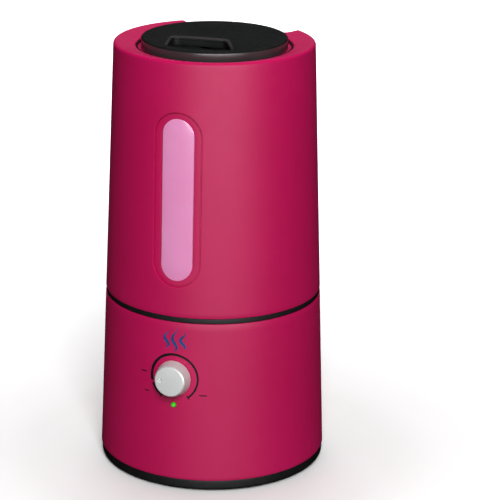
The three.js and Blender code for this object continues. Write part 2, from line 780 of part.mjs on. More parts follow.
// Points of a round corner at b, between the sides a-b and b-c.
function roundedCorner(a, b, c, radius) {
  const corner = new THREE.Vector2(...b);
  const start = new THREE.Vector2(...a).sub(corner).setLength(radius).add(corner);
  const end = new THREE.Vector2(...c).sub(corner).setLength(radius).add(corner);
  const bend = new THREE.QuadraticBezierCurve(start, corner, end);
  return bend.getPoints(4).map((point) => [point.x, point.y]);
}

// Mist slot: its front edge is concentric with the cap; an offset makes it larger all round.
function slotShape(offset = 0) {
  const radius = capRadius - slotMargin;
  const [fromAngle, toAngle] = slotFrontAngles;
  const front = arc([0, 0], radius, fromAngle - 7, toAngle + 7, 7);
  const frontRight = onCircle(radius, fromAngle);
  const frontLeft = onCircle(radius, toAngle);
  const outline = [
    ...roundedCorner(frontLeft, slotBackLeft, slotBackRight, 6),
    ...roundedCorner(slotBackLeft, slotBackRight, frontRight, 6),
    ...roundedCorner(slotBackRight, frontRight, front[0], 6),
    ...front.slice(1, -1),
    ...roundedCorner(front[front.length - 1], frontLeft, slotBackLeft, 6),
  ];
  const middle = outline.reduce((sum, [x, y]) => sum.add(new THREE.Vector2(x, y)), new THREE.Vector2())
    .divideScalar(outline.length);
  return new THREE.Shape(outline.map(([x, y]) => {
    const point = new THREE.Vector2(x, y);
    return point.add(point.clone().sub(middle).setLength(offset));
  }));
}

function nozzleCap() {
  const round = 1.2;
  const lid = turned([
    [0, capTopLevel - capTop],
    [capRadius - capWall, capTopLevel - capTop],
    [capRadius - capWall, capSkirtLow],
    [capRadius, capSkirtLow],
    ...arc([capRadius - round, capTopLevel - round], round, 0, 90, 3),
    [0, capTopLevel],
  ], fine);
  const slot = new THREE.ExtrudeGeometry(slotShape(), { depth: capTop * 3, bevelEnabled: false })
    .translate(0, 0, capTopLevel - capTop * 2);
  return worked(lid, [], [slot]);
}

function nozzleChute() {
  const low = nozzleDiscTop + gap;
  const depth = capTopLevel - capTop - gap - low;
  const outer = new THREE.ExtrudeGeometry(slotShape(chuteWall), { depth, bevelEnabled: false });
  const inner = new THREE.ExtrudeGeometry(slotShape(), { depth: depth + 2, bevelEnabled: false });
  return worked(outer.translate(0, 0, low), [], [inner.translate(0, 0, low - 1)]);
}

function nozzleBase() {
  const ringOuter = capRadius - capWall - running;
  const tubeOuter = chimneyBore - running;
  const low = pocketFloor - nozzleTubeDrop;
  return turned([
    [tubeOuter - chimneyWall, low],
    [tubeOuter, low],
    [tubeOuter, nozzleDiscLow],
    [ringOuter, nozzleDiscLow],
    [ringOuter, capTopLevel - capTop - running],
    [ringOuter - chimneyWall, capTopLevel - capTop - running],
    [ringOuter - chimneyWall, nozzleDiscTop],
    [tubeOuter - chimneyWall, nozzleDiscTop],
  ], fine);
}

add(nozzle, 'nozzle_base', nozzleBase(), blackAbs());
add(nozzle, 'nozzle_cap', nozzleCap(), blackAbs());
add(nozzle, 'nozzle_chute', nozzleChute(), blackAbs());

export default humidifier;
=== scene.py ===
# Cool mist humidifier: smooth casing, nozzle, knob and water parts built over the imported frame.
# Lengths in the settings are millimetres; finishMesh turns them into metres.
import math

import bmesh
import bpy
from mathutils import Euler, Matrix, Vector


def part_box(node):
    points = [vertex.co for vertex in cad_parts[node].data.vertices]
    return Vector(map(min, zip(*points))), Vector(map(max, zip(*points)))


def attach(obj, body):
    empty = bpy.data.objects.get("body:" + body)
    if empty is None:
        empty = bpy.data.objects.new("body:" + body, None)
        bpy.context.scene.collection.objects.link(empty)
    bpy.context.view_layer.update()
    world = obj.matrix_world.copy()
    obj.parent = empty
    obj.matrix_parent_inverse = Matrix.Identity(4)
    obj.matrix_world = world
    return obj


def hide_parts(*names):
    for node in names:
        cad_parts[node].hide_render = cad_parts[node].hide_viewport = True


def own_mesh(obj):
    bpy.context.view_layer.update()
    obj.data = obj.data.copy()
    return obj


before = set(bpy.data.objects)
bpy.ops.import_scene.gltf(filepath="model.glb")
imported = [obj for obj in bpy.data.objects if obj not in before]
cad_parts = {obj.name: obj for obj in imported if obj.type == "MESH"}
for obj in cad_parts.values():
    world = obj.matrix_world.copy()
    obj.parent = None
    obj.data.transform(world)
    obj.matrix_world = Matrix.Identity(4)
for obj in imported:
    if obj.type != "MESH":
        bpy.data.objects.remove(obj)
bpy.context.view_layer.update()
mm = 0.001
print("frame loaded:", len(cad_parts), "nodes")


# Measures taken from the frame, in millimetres

def span(node, axis):
    low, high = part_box(node)
    return low[axis] / mm, high[axis] / mm


def middle(node):
    low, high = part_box(node)
    return (low + high) / 2 / mm


def widest(node):
    # radius and height of a node's outermost corner
    corners = [vertex.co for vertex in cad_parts[node].data.vertices]
    far = max(corners, key=lambda corner: corner.xy.length_squared)
    return far.xy.length / mm, far.z / mm


footRadius, footLine = widest("base_shell")
tankRadius, tankLow = widest("tank_shell")
baseTop = span("base_shell", 2)[1]
rimTop = span("tank_shell", 2)[1]
slope = (footRadius - tankRadius) / (tankLow - footLine)
tilt = math.atan(slope)
gap = 0.3
wall = 2.6
knobHeight = middle("pot_nut").z
print("cone measured: foot", round(footRadius, 2), "tank", round(tankRadius, 2), "slope", round(slope, 5))


def coneRadius(z):
    return footRadius - slope * (z - footLine)


# Colours and materials

def hexColour(code):
    channels = [int(code[i:i + 2], 16) / 255 for i in (1, 3, 5)]
    linear = [c / 12.92 if c <= 0.04045 else ((c + 0.055) / 1.055) ** 2.4 for c in channels]
    return (*linear, 1.0)


def addNode(tree, kind, sockets=None, **settings):
    node = tree.nodes.new(kind)
    for name, value in settings.items():
        setattr(node, name, value)
    for socket, value in (sockets or {}).items():
        if isinstance(value, bpy.types.NodeSocket):
            tree.links.new(value, node.inputs[socket])
        else:
            node.inputs[socket].default_value = value
    return node


def noiseAt(tree, where, lumpMm, detail=3.0, stretch=(1, 1, 1)):
    turned = addNode(tree, "ShaderNodeMapping", {"Vector": where, "Scale": stretch})
    sockets = {"Vector": turned.outputs[0], "Scale": 1 / (lumpMm * mm), "Detail": detail}
    return addNode(tree, "ShaderNodeTexNoise", sockets).outputs["Fac"]


def spread(tree, value, low, high):
    sockets = {"Value": value, "From Min": 0.3, "From Max": 0.7, "To Min": low, "To Max": high}
    return addNode(tree, "ShaderNodeMapRange", sockets).outputs[0]


def moulded(name, look, fixed=None):
    # slow colour drift, uneven gloss and a fine skin, each at its own size in millimetres
    material = bpy.data.materials.new(name)
    material.use_nodes = True
    tree = material.node_tree
    shader = tree.nodes["Principled BSDF"]
    for socket, value in (fixed or {}).items():
        shader.inputs[socket].default_value = value
    where = addNode(tree, "ShaderNodeTexCoord").outputs["Object"]
    stretch = look.get("stretch", (1, 1, 1))
    drift = spread(tree, noiseAt(tree, where, look["driftMm"]), 0, 1)
    sockets = {0: drift, 6: hexColour(look["dark"]), 7: hexColour(look["light"])}
    colour = addNode(tree, "ShaderNodeMix", sockets, data_type="RGBA")
    tree.links.new(colour.outputs[2], shader.inputs["Base Color"])
    sheen = noiseAt(tree, where, look["sheenMm"], 5.0, stretch)
    tree.links.new(spread(tree, sheen, *look["roughness"]), shader.inputs["Roughness"])
    grain = noiseAt(tree, where, look["grainMm"], 2.0, stretch)
    sockets = {"Height": grain, "Strength": look["grainStrength"], "Distance": look["grainDepthMm"] * mm}
    tree.links.new(addNode(tree, "ShaderNodeBump", sockets).outputs[0], shader.inputs["Normal"])
    return material


# Moulded ABS: deep crimson with a soft shine, uneven enough that highlights have soft edges
crimsonAbs = moulded("crimson_gloss_ABS", {
    "dark": "#bc0050", "light": "#c20255", "driftMm": 60, "sheenMm": 9, "roughness": (0.46, 0.52),
    "grainMm": 1.6, "grainStrength": 0.1, "grainDepthMm": 0.02}, {"IOR": 1.5, "Specular IOR Level": 0.28})
# Spark-eroded ABS: black, its fine grain breaks up every reflection; drawn coarser than the real grain
satinBlackAbs = moulded("black_spark_eroded_ABS", {
    "dark": "#101111", "light": "#191a1a", "driftMm": 18, "sheenMm": 3, "roughness": (0.42, 0.54),
    "grainMm": 0.9, "grainStrength": 0.35, "grainDepthMm": 0.05}, {"IOR": 1.5, "Specular IOR Level": 0.32})
# Polished ABS: the rim of the nozzle disc and the edge of its slot; its glossier finish is real, its lighter,
# pinkish colour is a painted reflection of the crimson deck and a painted highlight
polishedBlackPaintedSheen = moulded("black_polished_ABS", {
    "dark": "#343031", "light": "#3b3738", "driftMm": 25, "sheenMm": 6, "roughness": (0.28, 0.36),
    "grainMm": 1.5, "grainStrength": 0.05, "grainDepthMm": 0.02}, {"IOR": 1.5, "Specular IOR Level": 0.55})
# Moulded rubber: dusty black with no shine
footRubber = moulded("moulded_black_rubber", {
    "dark": "#0c0c0d", "light": "#1c1b1a", "driftMm": 6, "sheenMm": 2, "roughness": (0.78, 0.95),
    "grainMm": 0.7, "grainStrength": 0.6, "grainDepthMm": 0.08}, {"IOR": 1.5})
# Silicone rubber: milky and soft-looking
siliconeRubber = moulded("translucent_silicone", {
    "dark": "#cfc8ba", "light": "#e4dfd3", "driftMm": 5, "sheenMm": 2, "roughness": (0.45, 0.6),
    "grainMm": 0.8, "grainStrength": 0.2, "grainDepthMm": 0.03}, {"Subsurface Weight": 0.2})
# Natural polypropylene: the off-white of valve, float and fan parts
whitePolypropylene = moulded("white_polypropylene", {
    "dark": "#d6d5cf", "light": "#eceae4", "driftMm": 9, "sheenMm": 3, "roughness": (0.35, 0.5),
    "grainMm": 1.0, "grainStrength": 0.15, "grainDepthMm": 0.03}, {"Subsurface Weight": 0.1})
# Vacuum-metallised ABS: a pale silver with a fine satin grain
silverAbs = moulded("satin_silver_ABS", {
    "dark": "#e6e8e7", "light": "#eceeed", "driftMm": 14, "sheenMm": 2.5, "roughness": (0.46, 0.54),
    "grainMm": 0.9, "grainStrength": 0.15, "grainDepthMm": 0.02}, {"Metallic": 0.5})
# Bright zinc on pressed steel: drawn out in streaks
zincSteel = moulded("zinc_plated_steel", {
    "dark": "#8f9297", "light": "#b9bcc0", "driftMm": 8, "sheenMm": 2, "roughness": (0.25, 0.45),
    "grainMm": 1.2, "grainStrength": 0.2, "grainDepthMm": 0.02, "stretch": (1, 1, 6)}, {"Metallic": 1.0})
# Extruded aluminium: dull, with die lines along its length
sinkAluminium = moulded("extruded_aluminium", {
    "dark": "#8d9094", "light": "#a9acb0", "driftMm": 6, "sheenMm": 1.5, "roughness": (0.4, 0.6),
    "grainMm": 0.9, "grainStrength": 0.4, "grainDepthMm": 0.03, "stretch": (8, 8, 1)}, {"Metallic": 1.0})
# Solder resist over glass fibre: dark green with a faint weave
boardResist = moulded("green_solder_resist", {
    "dark": "#0f3b20", "light": "#1a5a33", "driftMm": 3, "sheenMm": 2, "roughness": (0.3, 0.5),
    "grainMm": 1.1, "grainStrength": 0.3, "grainDepthMm": 0.03})
# Moulded epoxy: matt charcoal
epoxyBlack = moulded("moulded_epoxy", {
    "dark": "#151515", "light": "#242424", "driftMm": 3, "sheenMm": 1, "roughness": (0.55, 0.75),
    "grainMm": 0.8, "grainStrength": 0.3, "grainDepthMm": 0.03})
# Shrunk PVC sleeve: dark blue and shiny
sleevePvc = moulded("blue_shrink_sleeve", {
    "dark": "#14233f", "light": "#22375f", "driftMm": 5, "sheenMm": 2, "roughness": (0.25, 0.4),
    "grainMm": 1.2, "grainStrength": 0.15, "grainDepthMm": 0.03})
# Enamelled copper wire: orange brown, in close turns
copperWire = moulded("enamelled_copper", {
    "dark": "#7c3f17", "light": "#b0622a", "driftMm": 2, "sheenMm": 1, "roughness": (0.25, 0.45),
    "grainMm": 1.0, "grainStrength": 0.6, "grainDepthMm": 0.15, "stretch": (1, 1, 5)}, {"Metallic": 0.8})
# Polyester winding tape: straw yellow
windingTape = moulded("polyester_tape", {
    "dark": "#bfa75e", "light": "#d9c586", "driftMm": 5, "sheenMm": 2, "roughness": (0.35, 0.5),
    "grainMm": 1.2, "grainStrength": 0.25, "grainDepthMm": 0.05})
# Acrylic frosted on its back: milky pink, soft inside and polished outside
pinkAcrylic = moulded("frosted_pink_acrylic", {
    "dark": "#ec93c6", "light": "#f09ccd", "driftMm": 45, "sheenMm": 12, "roughness": (0.16, 0.24),
    "grainMm": 2.5, "grainStrength": 0.05, "grainDepthMm": 0.02},
    {"Subsurface Weight": 0.25, "Subsurface Radius": (0.006, 0.003, 0.004), "IOR": 1.49})
# Clear green lens over a lit diode
greenLens = moulded("lit_green_lens", {
    "dark": "#1f9c0c", "light": "#3cc41f", "driftMm": 1.5, "sheenMm": 1, "roughness": (0.08, 0.15),
    "grainMm": 1.5, "grainStrength": 0.1, "grainDepthMm": 0.02},
    {"Emission Color": hexColour("#3fe11c"), "Emission Strength": 0.28})
# Pad-printed inks: flat and slightly matt over the shine
blackInk = moulded("black_pad_ink", {
    "dark": "#0b0d0f", "light": "#14171a", "driftMm": 4, "sheenMm": 1, "roughness": (0.4, 0.55),
    "grainMm": 0.8, "grainStrength": 0.2, "grainDepthMm": 0.01}, {"Specular IOR Level": 0.15})
blueInk = moulded("blue_pad_ink", {
    "dark": "#0c3a72", "light": "#125190", "driftMm": 4, "sheenMm": 1, "roughness": (0.4, 0.55),
    "grainMm": 0.8, "grainStrength": 0.2, "grainDepthMm": 0.01}, {"Specular IOR Level": 0.15})
print("materials made:", len(bpy.data.materials))


# Mesh helpers

def tidyMesh(mesh, sharpDegrees):
    # doubles merged and faces turned outwards, then smooth with crisp edges
    shape = bmesh.new()
    shape.from_mesh(mesh)
    bmesh.ops.remove_doubles(shape, verts=shape.verts, dist=0.002 * mm)
    bmesh.ops.dissolve_degenerate(shape, edges=shape.edges, dist=0.001 * mm)
    bmesh.ops.recalc_face_normals(shape, faces=shape.faces)
    shape.to_mesh(mesh)
    shape.free()
    mesh.shade_smooth()
    mesh.set_sharp_from_angle(angle=math.radians(sharpDegrees))


def finishMesh(name, vertices, faces, material, sharpDegrees=32):
    mesh = bpy.data.meshes.new(name)
    mesh.from_pydata([Vector(v) * mm for v in vertices], [], faces)
    tidyMesh(mesh, sharpDegrees)
    mesh.materials.append(material)
    piece = bpy.data.objects.new(name, mesh)
    bpy.context.scene.collection.objects.link(piece)
    return piece


def keepResult(piece, sharpDegrees=32):
    # what the modifiers give becomes the piece's own plain mesh
    depsgraph = bpy.context.evaluated_depsgraph_get()
    result = bpy.data.meshes.new_from_object(piece.evaluated_get(depsgraph), depsgraph=depsgraph)
    piece.modifiers.clear()
    piece.data = result
    tidyMesh(result, sharpDegrees)
    return piece


def carve(piece, joins=(), cuts=(), sharpDegrees=32):
    for tools, operation in ((joins, "UNION"), (cuts, "DIFFERENCE")):
        for tool in tools:
            step = piece.modifiers.new(operation, "BOOLEAN")
            step.operation = operation
            step.solver = "EXACT"
            step.object = tool
    keepResult(piece, sharpDegrees)
    for tool in (*joins, *cuts):
        bpy.data.objects.remove(tool)
    return piece


def settle(piece, body, slot, *nodes):
    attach(piece, body)
    if nodes:
        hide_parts(*nodes)
    return piece


def rounded(corners, steps=4):
    # a closed outline from (x, y, radius) corners
    outline = []
    for i, (x, y, *radius) in enumerate(corners):
        corner = Vector((x, y))
        if not radius or radius[0] <= 0:
            outline.append((x, y))
            continue
        before = Vector(corners[i - 1][:2]) - corner
        after = Vector(corners[(i + 1) % len(corners)][:2]) - corner
        reach = radius[0] / math.tan(before.angle(after) / 2)
        reach = min(reach, before.length * 0.49, after.length * 0.49)
        start = corner + before.normalized() * reach
        end = corner + after.normalized() * reach
        for k in range(steps + 1):
            t = k / steps
            bend = start.lerp(corner, t).lerp(corner.lerp(end, t), t)
            outline.append((bend.x, bend.y))
    return outline


def lofted(loops, closed=True):
    # skins a list of equal loops; a closed loft joins its last loop to its first
    size = len(loops[0])
    faces = []
    for i in range(len(loops) if closed else len(loops) - 1):
        here, there = i * size, ((i + 1) % len(loops)) * size
        for k in range(size):
            nextK = (k + 1) % size
            faces.append((here + k, here + nextK, there + nextK, there + k))
    return [point for loop in loops for point in loop], faces


def turned(name, corners, material, centre=(0, 0), segments=96, place=None, steps=4):
    # turns (radius, height, rounding) corners about the upright line through centre
    def upright(across, along, height):
        return (centre[0] + across, centre[1] + along, height)

    place = place or upright
    loops = []
    for i in range(segments):
        angle = 2 * math.pi * i / segments
        loops.append([place(r * math.cos(angle), r * math.sin(angle), h) for r, h in rounded(corners, steps)])
    return finishMesh(name, *lofted(loops), material)


def rod(name, radius, low, high, material, centre=(0, 0), edge=0.0, segments=64, steps=4):
    corners = [(0, low), (radius, low, edge), (radius, high, edge), (0, high)]
    return turned(name, corners, material, centre, segments, steps=steps)


def tube(name, outer, inner, low, high, material, centre=(0, 0), edge=0.3, segments=96):
    corners = [(inner, low, edge), (outer, low, edge), (outer, high, edge), (inner, high, edge)]
    return turned(name, corners, material, centre, segments)


def bar(name, size, centre, low, high, material, angle=0.0):
    # an upright block, turned by angle about its own middle
    halfX, halfY = size[0] / 2, size[1] / 2
    loop = []
    for x, y in ((-halfX, -halfY), (halfX, -halfY), (halfX, halfY), (-halfX, halfY)):
        cos, sin = math.cos(angle), math.sin(angle)
        loop.append((centre[0] + x * cos - y * sin, centre[1] + x * sin + y * cos))
    vertices = [(x, y, low) for x, y in loop] + [(x, y, high) for x, y in loop]
    faces = [(3, 2, 1, 0), (4, 5, 6, 7), (0, 1, 5, 4), (1, 2, 6, 5), (2, 3, 7, 6), (3, 0, 4, 7)]
    return finishMesh(name, vertices, faces, material)


def joined(name, pieces):
    shape = bmesh.new()
    for piece in pieces:
        shape.from_mesh(piece.data)
    mesh = bpy.data.meshes.new(name)
    shape.to_mesh(mesh)
    shape.free()
    mesh.materials.append(pieces[0].data.materials[0])
    tidyMesh(mesh, 32)
    for piece in pieces:
        bpy.data.objects.remove(piece)
    whole = bpy.data.objects.new(name, mesh)
    bpy.context.scene.collection.objects.link(whole)
    return whole


def panelPoint(across, up, out):
    # a point by the knob's axis: to the right, up along the panel and out of it
    cos, sin = math.cos(tilt), math.sin(tilt)
    return (across, -coneRadius(knobHeight) + up * sin - out * cos, knobHeight + up * cos + out * sin)


# Geometry Nodes trees for what repeats

def ringTree():
    # copies of the piece's own shape round the upright axis, each turned to face out
    tree = bpy.data.node_groups.new("CopiesOnCircle", "GeometryNodeTree")
    sockets = tree.interface
    sockets.new_socket("Shape", in_out="INPUT", socket_type="NodeSocketGeometry")
    sockets.new_socket("Copies", in_out="INPUT", socket_type="NodeSocketInt").default_value = 4
    sockets.new_socket("Circle Radius", in_out="INPUT", socket_type="NodeSocketFloat").default_value = 0.05
    sockets.new_socket("First Angle", in_out="INPUT", socket_type="NodeSocketFloat").default_value = 0.0
    sockets.new_socket("Centre", in_out="INPUT", socket_type="NodeSocketVector")
    sockets.new_socket("Material", in_out="INPUT", socket_type="NodeSocketMaterial")
    sockets.new_socket("Ring", in_out="OUTPUT", socket_type="NodeSocketGeometry")
    given = addNode(tree, "NodeGroupInput").outputs
    index = addNode(tree, "GeometryNodeInputIndex").outputs[0]
    step = addNode(tree, "ShaderNodeMath", {0: 2 * math.pi, 1: given["Copies"]}, operation="DIVIDE")
    angle = addNode(tree, "ShaderNodeMath",
                    {0: index, 1: step.outputs[0], 2: given["First Angle"]}, operation="MULTIPLY_ADD")
    angle = angle.outputs[0]
    turn = addNode(tree, "ShaderNodeCombineXYZ", {"Z": angle}).outputs[0]
    reach = addNode(tree, "ShaderNodeCombineXYZ", {"X": given["Circle Radius"]}).outputs[0]
    spot = addNode(tree, "ShaderNodeVectorRotate", {"Vector": reach, "Rotation": turn},
                   rotation_type="EULER_XYZ")
    place = addNode(tree, "ShaderNodeVectorMath", {0: spot.outputs[0], 1: given["Centre"]}, operation="ADD")
    points = addNode(tree, "GeometryNodePoints", {"Count": given["Copies"], "Position": place.outputs[0]})
    copies = addNode(tree, "GeometryNodeInstanceOnPoints",
                     {"Points": points.outputs[0], "Instance": given["Shape"], "Rotation": turn})
    real = addNode(tree, "GeometryNodeRealizeInstances", {"Geometry": copies.outputs[0]})
    painted = addNode(tree, "GeometryNodeSetMaterial",
                      {"Geometry": real.outputs[0], "Material": given["Material"]})
    addNode(tree, "NodeGroupOutput", {"Ring": painted.outputs[0]})
    return tree


def coilTree():
    # a wire wound into an open spring
    tree = bpy.data.node_groups.new("WoundSpring", "GeometryNodeTree")
    sockets = tree.interface
    sockets.new_socket("Shape", in_out="INPUT", socket_type="NodeSocketGeometry")
    for name in ("Turns", "Coil Radius", "Wire Radius", "Height"):
        sockets.new_socket(name, in_out="INPUT", socket_type="NodeSocketFloat")
    sockets.new_socket("Centre", in_out="INPUT", socket_type="NodeSocketVector")
    sockets.new_socket("Material", in_out="INPUT", socket_type="NodeSocketMaterial")
    sockets.new_socket("Coil", in_out="OUTPUT", socket_type="NodeSocketGeometry")
    given = addNode(tree, "NodeGroupInput").outputs
    spiral = addNode(tree, "GeometryNodeCurveSpiral", {
        "Resolution": 32, "Rotations": given["Turns"], "Start Radius": given["Coil Radius"],
        "End Radius": given["Coil Radius"], "Height": given["Height"]})
    section = addNode(tree, "GeometryNodeCurvePrimitiveCircle",
                      {"Resolution": 12, "Radius": given["Wire Radius"]})
    wire = addNode(tree, "GeometryNodeCurveToMesh",
                   {"Curve": spiral.outputs[0], "Profile Curve": section.outputs[0], "Fill Caps": True})
    moved = addNode(tree, "GeometryNodeTransform",
                    {"Geometry": wire.outputs[0], "Translation": given["Centre"]})
    real = addNode(tree, "GeometryNodeRealizeInstances", {"Geometry": moved.outputs[0]})
    painted = addNode(tree, "GeometryNodeSetMaterial",
                      {"Geometry": real.outputs[0], "Material": given["Material"]})
    addNode(tree, "NodeGroupOutput", {"Coil": painted.outputs[0]})
    return tree


def grow(tree, piece, values):
    # runs a tree on a piece; its inputs are set by identifier before it is first evaluated
    modifier = piece.modifiers.new(tree.name, "NODES")
    modifier.node_group = tree
    for item in tree.interface.items_tree:
        if item.in_out == "INPUT" and item.name in values:
            modifier[item.identifier] = values[item.name]
    return keepResult(piece)


copiesOnCircle = ringTree()
woundSpring = coilTree()


# The casing: rows and columns on the cone, with slots and holes let into its front and back

casingGrid = {"stripSteps": 16, "sideSteps": 110, "slotArc": 8, "slotSide": 10}
slotRows = 2 * casingGrid["slotArc"] + casingGrid["slotSide"]


def arcPoints(centreZ, radius, start, end, steps):
    angles = [math.radians(start + (end - start) * k / steps) for k in range(steps)]
    return [(radius * math.cos(a), centreZ + radius * math.sin(a)) for a in angles]


def slotRing(radius, low, high):
    # an upright slot outline; low and high are the heights of its end centres, equal for a hole
    ends, arc, side = casingGrid["stripSteps"], casingGrid["slotArc"], casingGrid["slotSide"]
    if high - low < 0.01:
        right = arcPoints(low, radius, -45, 45, slotRows)
        left = arcPoints(low, radius, 135, 225, slotRows)
    else:
        right = arcPoints(low, radius, -45, 0, arc)
        right += [(radius, low + (high - low) * k / side) for k in range(side)]
        right += arcPoints(high, radius, 0, 45, arc)
        left = arcPoints(high, radius, 135, 180, arc)
        left += [(-radius, high - (high - low) * k / side) for k in range(side)]
        left += arcPoints(low, radius, 180, 225, arc)
    return arcPoints(low, radius, 225, 315, ends) + right + arcPoints(high, radius, 45, 135, ends) + left


def onCone(across, z, depth=0.0, back=False):
    # a point on the front or back of the cone, across to the right as seen from outside
    angle = math.asin(across / coneRadius(z)) + (math.pi if back else 0)
    radius = coneRadius(z) - depth
    return (radius * math.sin(angle), -radius * math.cos(angle), z)


def columnAngle(column, strip, z):
    # 0 faces the front and the angle grows to the right
    steps, sides = casingGrid["stripSteps"], casingGrid["sideSteps"]
    edge = math.asin(strip / coneRadius(z))
    half = steps + sides
    turn = math.pi if column >= half else 0
    column %= half
    if column <= steps:
        return turn + math.asin(strip * (2 * column / steps - 1) / coneRadius(z))
    return turn + edge + (math.pi - 2 * edge) * (column - steps) / sides


def casing(name, rows, strip, patches, material, crown=None):
    # rows are (height, depth); a patch lets rings of (radius, depth) into a strip, between two heights;
    # crown(angle) gives a column's further (radius, height, inner radius, inner height) rows
    steps, sides = casingGrid["stripSteps"], casingGrid["sideSteps"]
    count = 2 * (steps + sides)
    outer, inner, faces = [], [], []
    for z, depth in rows:
        for column in range(count):
            angle = columnAngle(column, strip, z)
            for points, radius in ((outer, coneRadius(z) - depth), (inner, coneRadius(z) - wall)):
                points.append((radius * math.sin(angle), -radius * math.cos(angle), z))
    rowCount = len(rows)
    if crown:
        angles = [columnAngle(column, strip, rows[-1][0]) for column in range(count)]
        crowns = [crown(angle) for angle in angles]
        rowCount += len(crowns[0])
        for k in range(len(crowns[0])):
            for column, angle in enumerate(angles):
                radius, z, innerRadius, innerZ = crowns[column][k]
                outer.append((radius * math.sin(angle), -radius * math.cos(angle), z))
                inner.append((innerRadius * math.sin(angle), -innerRadius * math.cos(angle), innerZ))
    heights = [z for z, depth in rows]
    skipped = set()
    for patch in patches:
        first = heights.index(patch["bottom"])
        left = (steps + sides) if patch["back"] else 0
        for row in range(first, first + slotRows):
            skipped.update((row, column) for column in range(left, left + steps))
        ring = [first * count + left + k for k in range(steps)]
        ring += [(first + k) * count + left + steps for k in range(slotRows)]
        ring += [(first + slotRows) * count + left + steps - k for k in range(steps)]
        ring += [(first + slotRows - k) * count + left for k in range(slotRows)]
        frameRing = []
        for index in ring:
            x, y, z = outer[index]
            frameRing.append((-x if patch["back"] else x, z))
        radius, depth = patch["rings"][0]
        firstSlot = slotRing(radius, patch["low"], patch["high"])
        levels = []
        for t in (0.35, 0.7):
            pairs = zip(frameRing, firstSlot)
            levels.append(([(a[0] + (b[0] - a[0]) * t, a[1] + (b[1] - a[1]) * t) for a, b in pairs], 0.0))
        for radius, depth in patch["rings"]:
            levels.append((slotRing(radius, patch["low"], patch["high"]), depth))
        for points, depth in levels:
            start = len(outer)
            for across, z in points:
                outer.append(onCone(across, z, depth, patch["back"]))
                inner.append(onCone(across, z, wall, patch["back"]))
            size = len(points)
            for k in range(size):
                nextK = (k + 1) % size
                faces.append((ring[k], ring[nextK], start + nextK, start + k))
            ring = list(range(start, start + size))
    for row in range(rowCount - 1):
        for column in range(count):
            if (row, column) not in skipped:
                here, there = row * count + column, row * count + (column + 1) % count
                faces.append((here, there, there + count, here + count))
    # the inner skin is the outer one turned round, and open edges are closed between the two
    total = len(outer)
    edges = {(face[k], face[(k + 1) % 4]) for face in faces for k in range(4)}
    rims = [(b, a, a + total, b + total) for a, b in edges if (b, a) not in edges]
    backs = [tuple(total + index for index in reversed(face)) for face in faces]
    return finishMesh(name, outer + inner, faces + backs + rims, material, 40)


def evenRows(low, high, count):
    return [(low + (high - low) * k / count, 0.0) for k in range(count + 1)]


# Tank shell: window recess in front, stepped deck on top, finger recess behind the rim

tankLook = {
    "strip": 24.0, "edge": 0.3, "windowMargin": 4.5, "bezelRound": 0.55, "rimRound": 2.5, "recessRound": 1.3,
    "recessHalfAngle": 31.5, "recessDepth": 10.0, "recessShelf": 3.9, "blend": 1.3, "bandLow": 328.0,
    "deckSteps": 18, "arcSteps": 7, "pocketRound": 0.6, "roofSlope": 0.26, "pocketRings": (50.0, 34.0),
    "boreEdge": 0.4, "grooveDepth": 0.8}
bezelLow, bezelHigh = 168.9, 307.6
bezelRadius, bezelDepth = 19.5, 1.1
lensLow, lensHigh = 173.0, 303.5
lensRadius = 13.25
pocketRadius = span("nozzle_seat_ring", 0)[1] + gap
deckEdge = span("nozzle_seat_ring", 2)[1] + gap
pocketFloor = span("nozzle_seat_ring", 2)[0] - gap
chimneyBore = 16.2


def softMin(a, b, blend):
    closeness = max(blend - abs(a - b), 0) / blend
    return min(a, b) - closeness * closeness * blend / 4


def tankCrown(angle):
    look = tankLook
    rimRadius = coneRadius(rimTop)
    fromBack = abs(angle % (2 * math.pi) - math.pi)
    beyond = max(0.0, fromBack - math.radians(look["recessHalfAngle"])) * rimRadius
    recessFloor = rimTop - look["recessDepth"]
    top = softMin(rimTop, recessFloor + beyond, look["blend"])
    share = (top - recessFloor) / look["recessDepth"]
    edge = look["recessRound"] + (look["rimRound"] - look["recessRound"]) * max(0.0, share)
    start = top - edge
    rows = []
    for k in range(1, 5):
        z = look["bandLow"] + (start - look["bandLow"]) * k / 4
        rows.append((coneRadius(z), z, coneRadius(z) - wall, min(z, start - wall)))
    crest = coneRadius(start) - edge
    for k in range(1, look["arcSteps"] + 1):
        bend = math.radians(90 * k / look["arcSteps"])
        rows.append((crest + edge * math.cos(bend), start + edge * math.sin(bend),
                     coneRadius(start) - wall, start - wall))
    roofLow, roofEdge = pocketFloor - wall, pocketRadius + wall
    outerEdge = pocketRadius + look["pocketRound"]
    for k in range(1, look["deckSteps"] + 1):
        radius = crest + (outerEdge - crest) * k / look["deckSteps"]
        rise = (rimTop - deckEdge) / (rimRadius - look["rimRound"] - pocketRadius)
        deck = deckEdge + rise * (radius - pocketRadius)
        away = math.hypot(max(0.0, rimRadius - look["recessShelf"] - radius), beyond)
        z = softMin(deck, recessFloor + away, look["blend"])
        roof = roofLow + max(0.0, radius - roofEdge) * look["roofSlope"]
        rows.append((radius, z, min(radius, coneRadius(start) - wall), min(roof, z - wall)))
    for k in (1, 2, 3):
        bend = math.radians(30 * k)
        down = look["pocketRound"]
        z = deckEdge - down * (1 - math.cos(bend))
        rows.append((outerEdge - down * math.sin(bend), z, roofEdge, roofLow))
    rows.append((pocketRadius, pocketFloor, pocketRadius, roofLow))
    for radius in (*look["pocketRings"], chimneyBore + look["boreEdge"]):
        rows.append((radius, pocketFloor, radius, roofLow))
    rows.append((chimneyBore, pocketFloor - look["boreEdge"], chimneyBore, roofLow))
    return rows


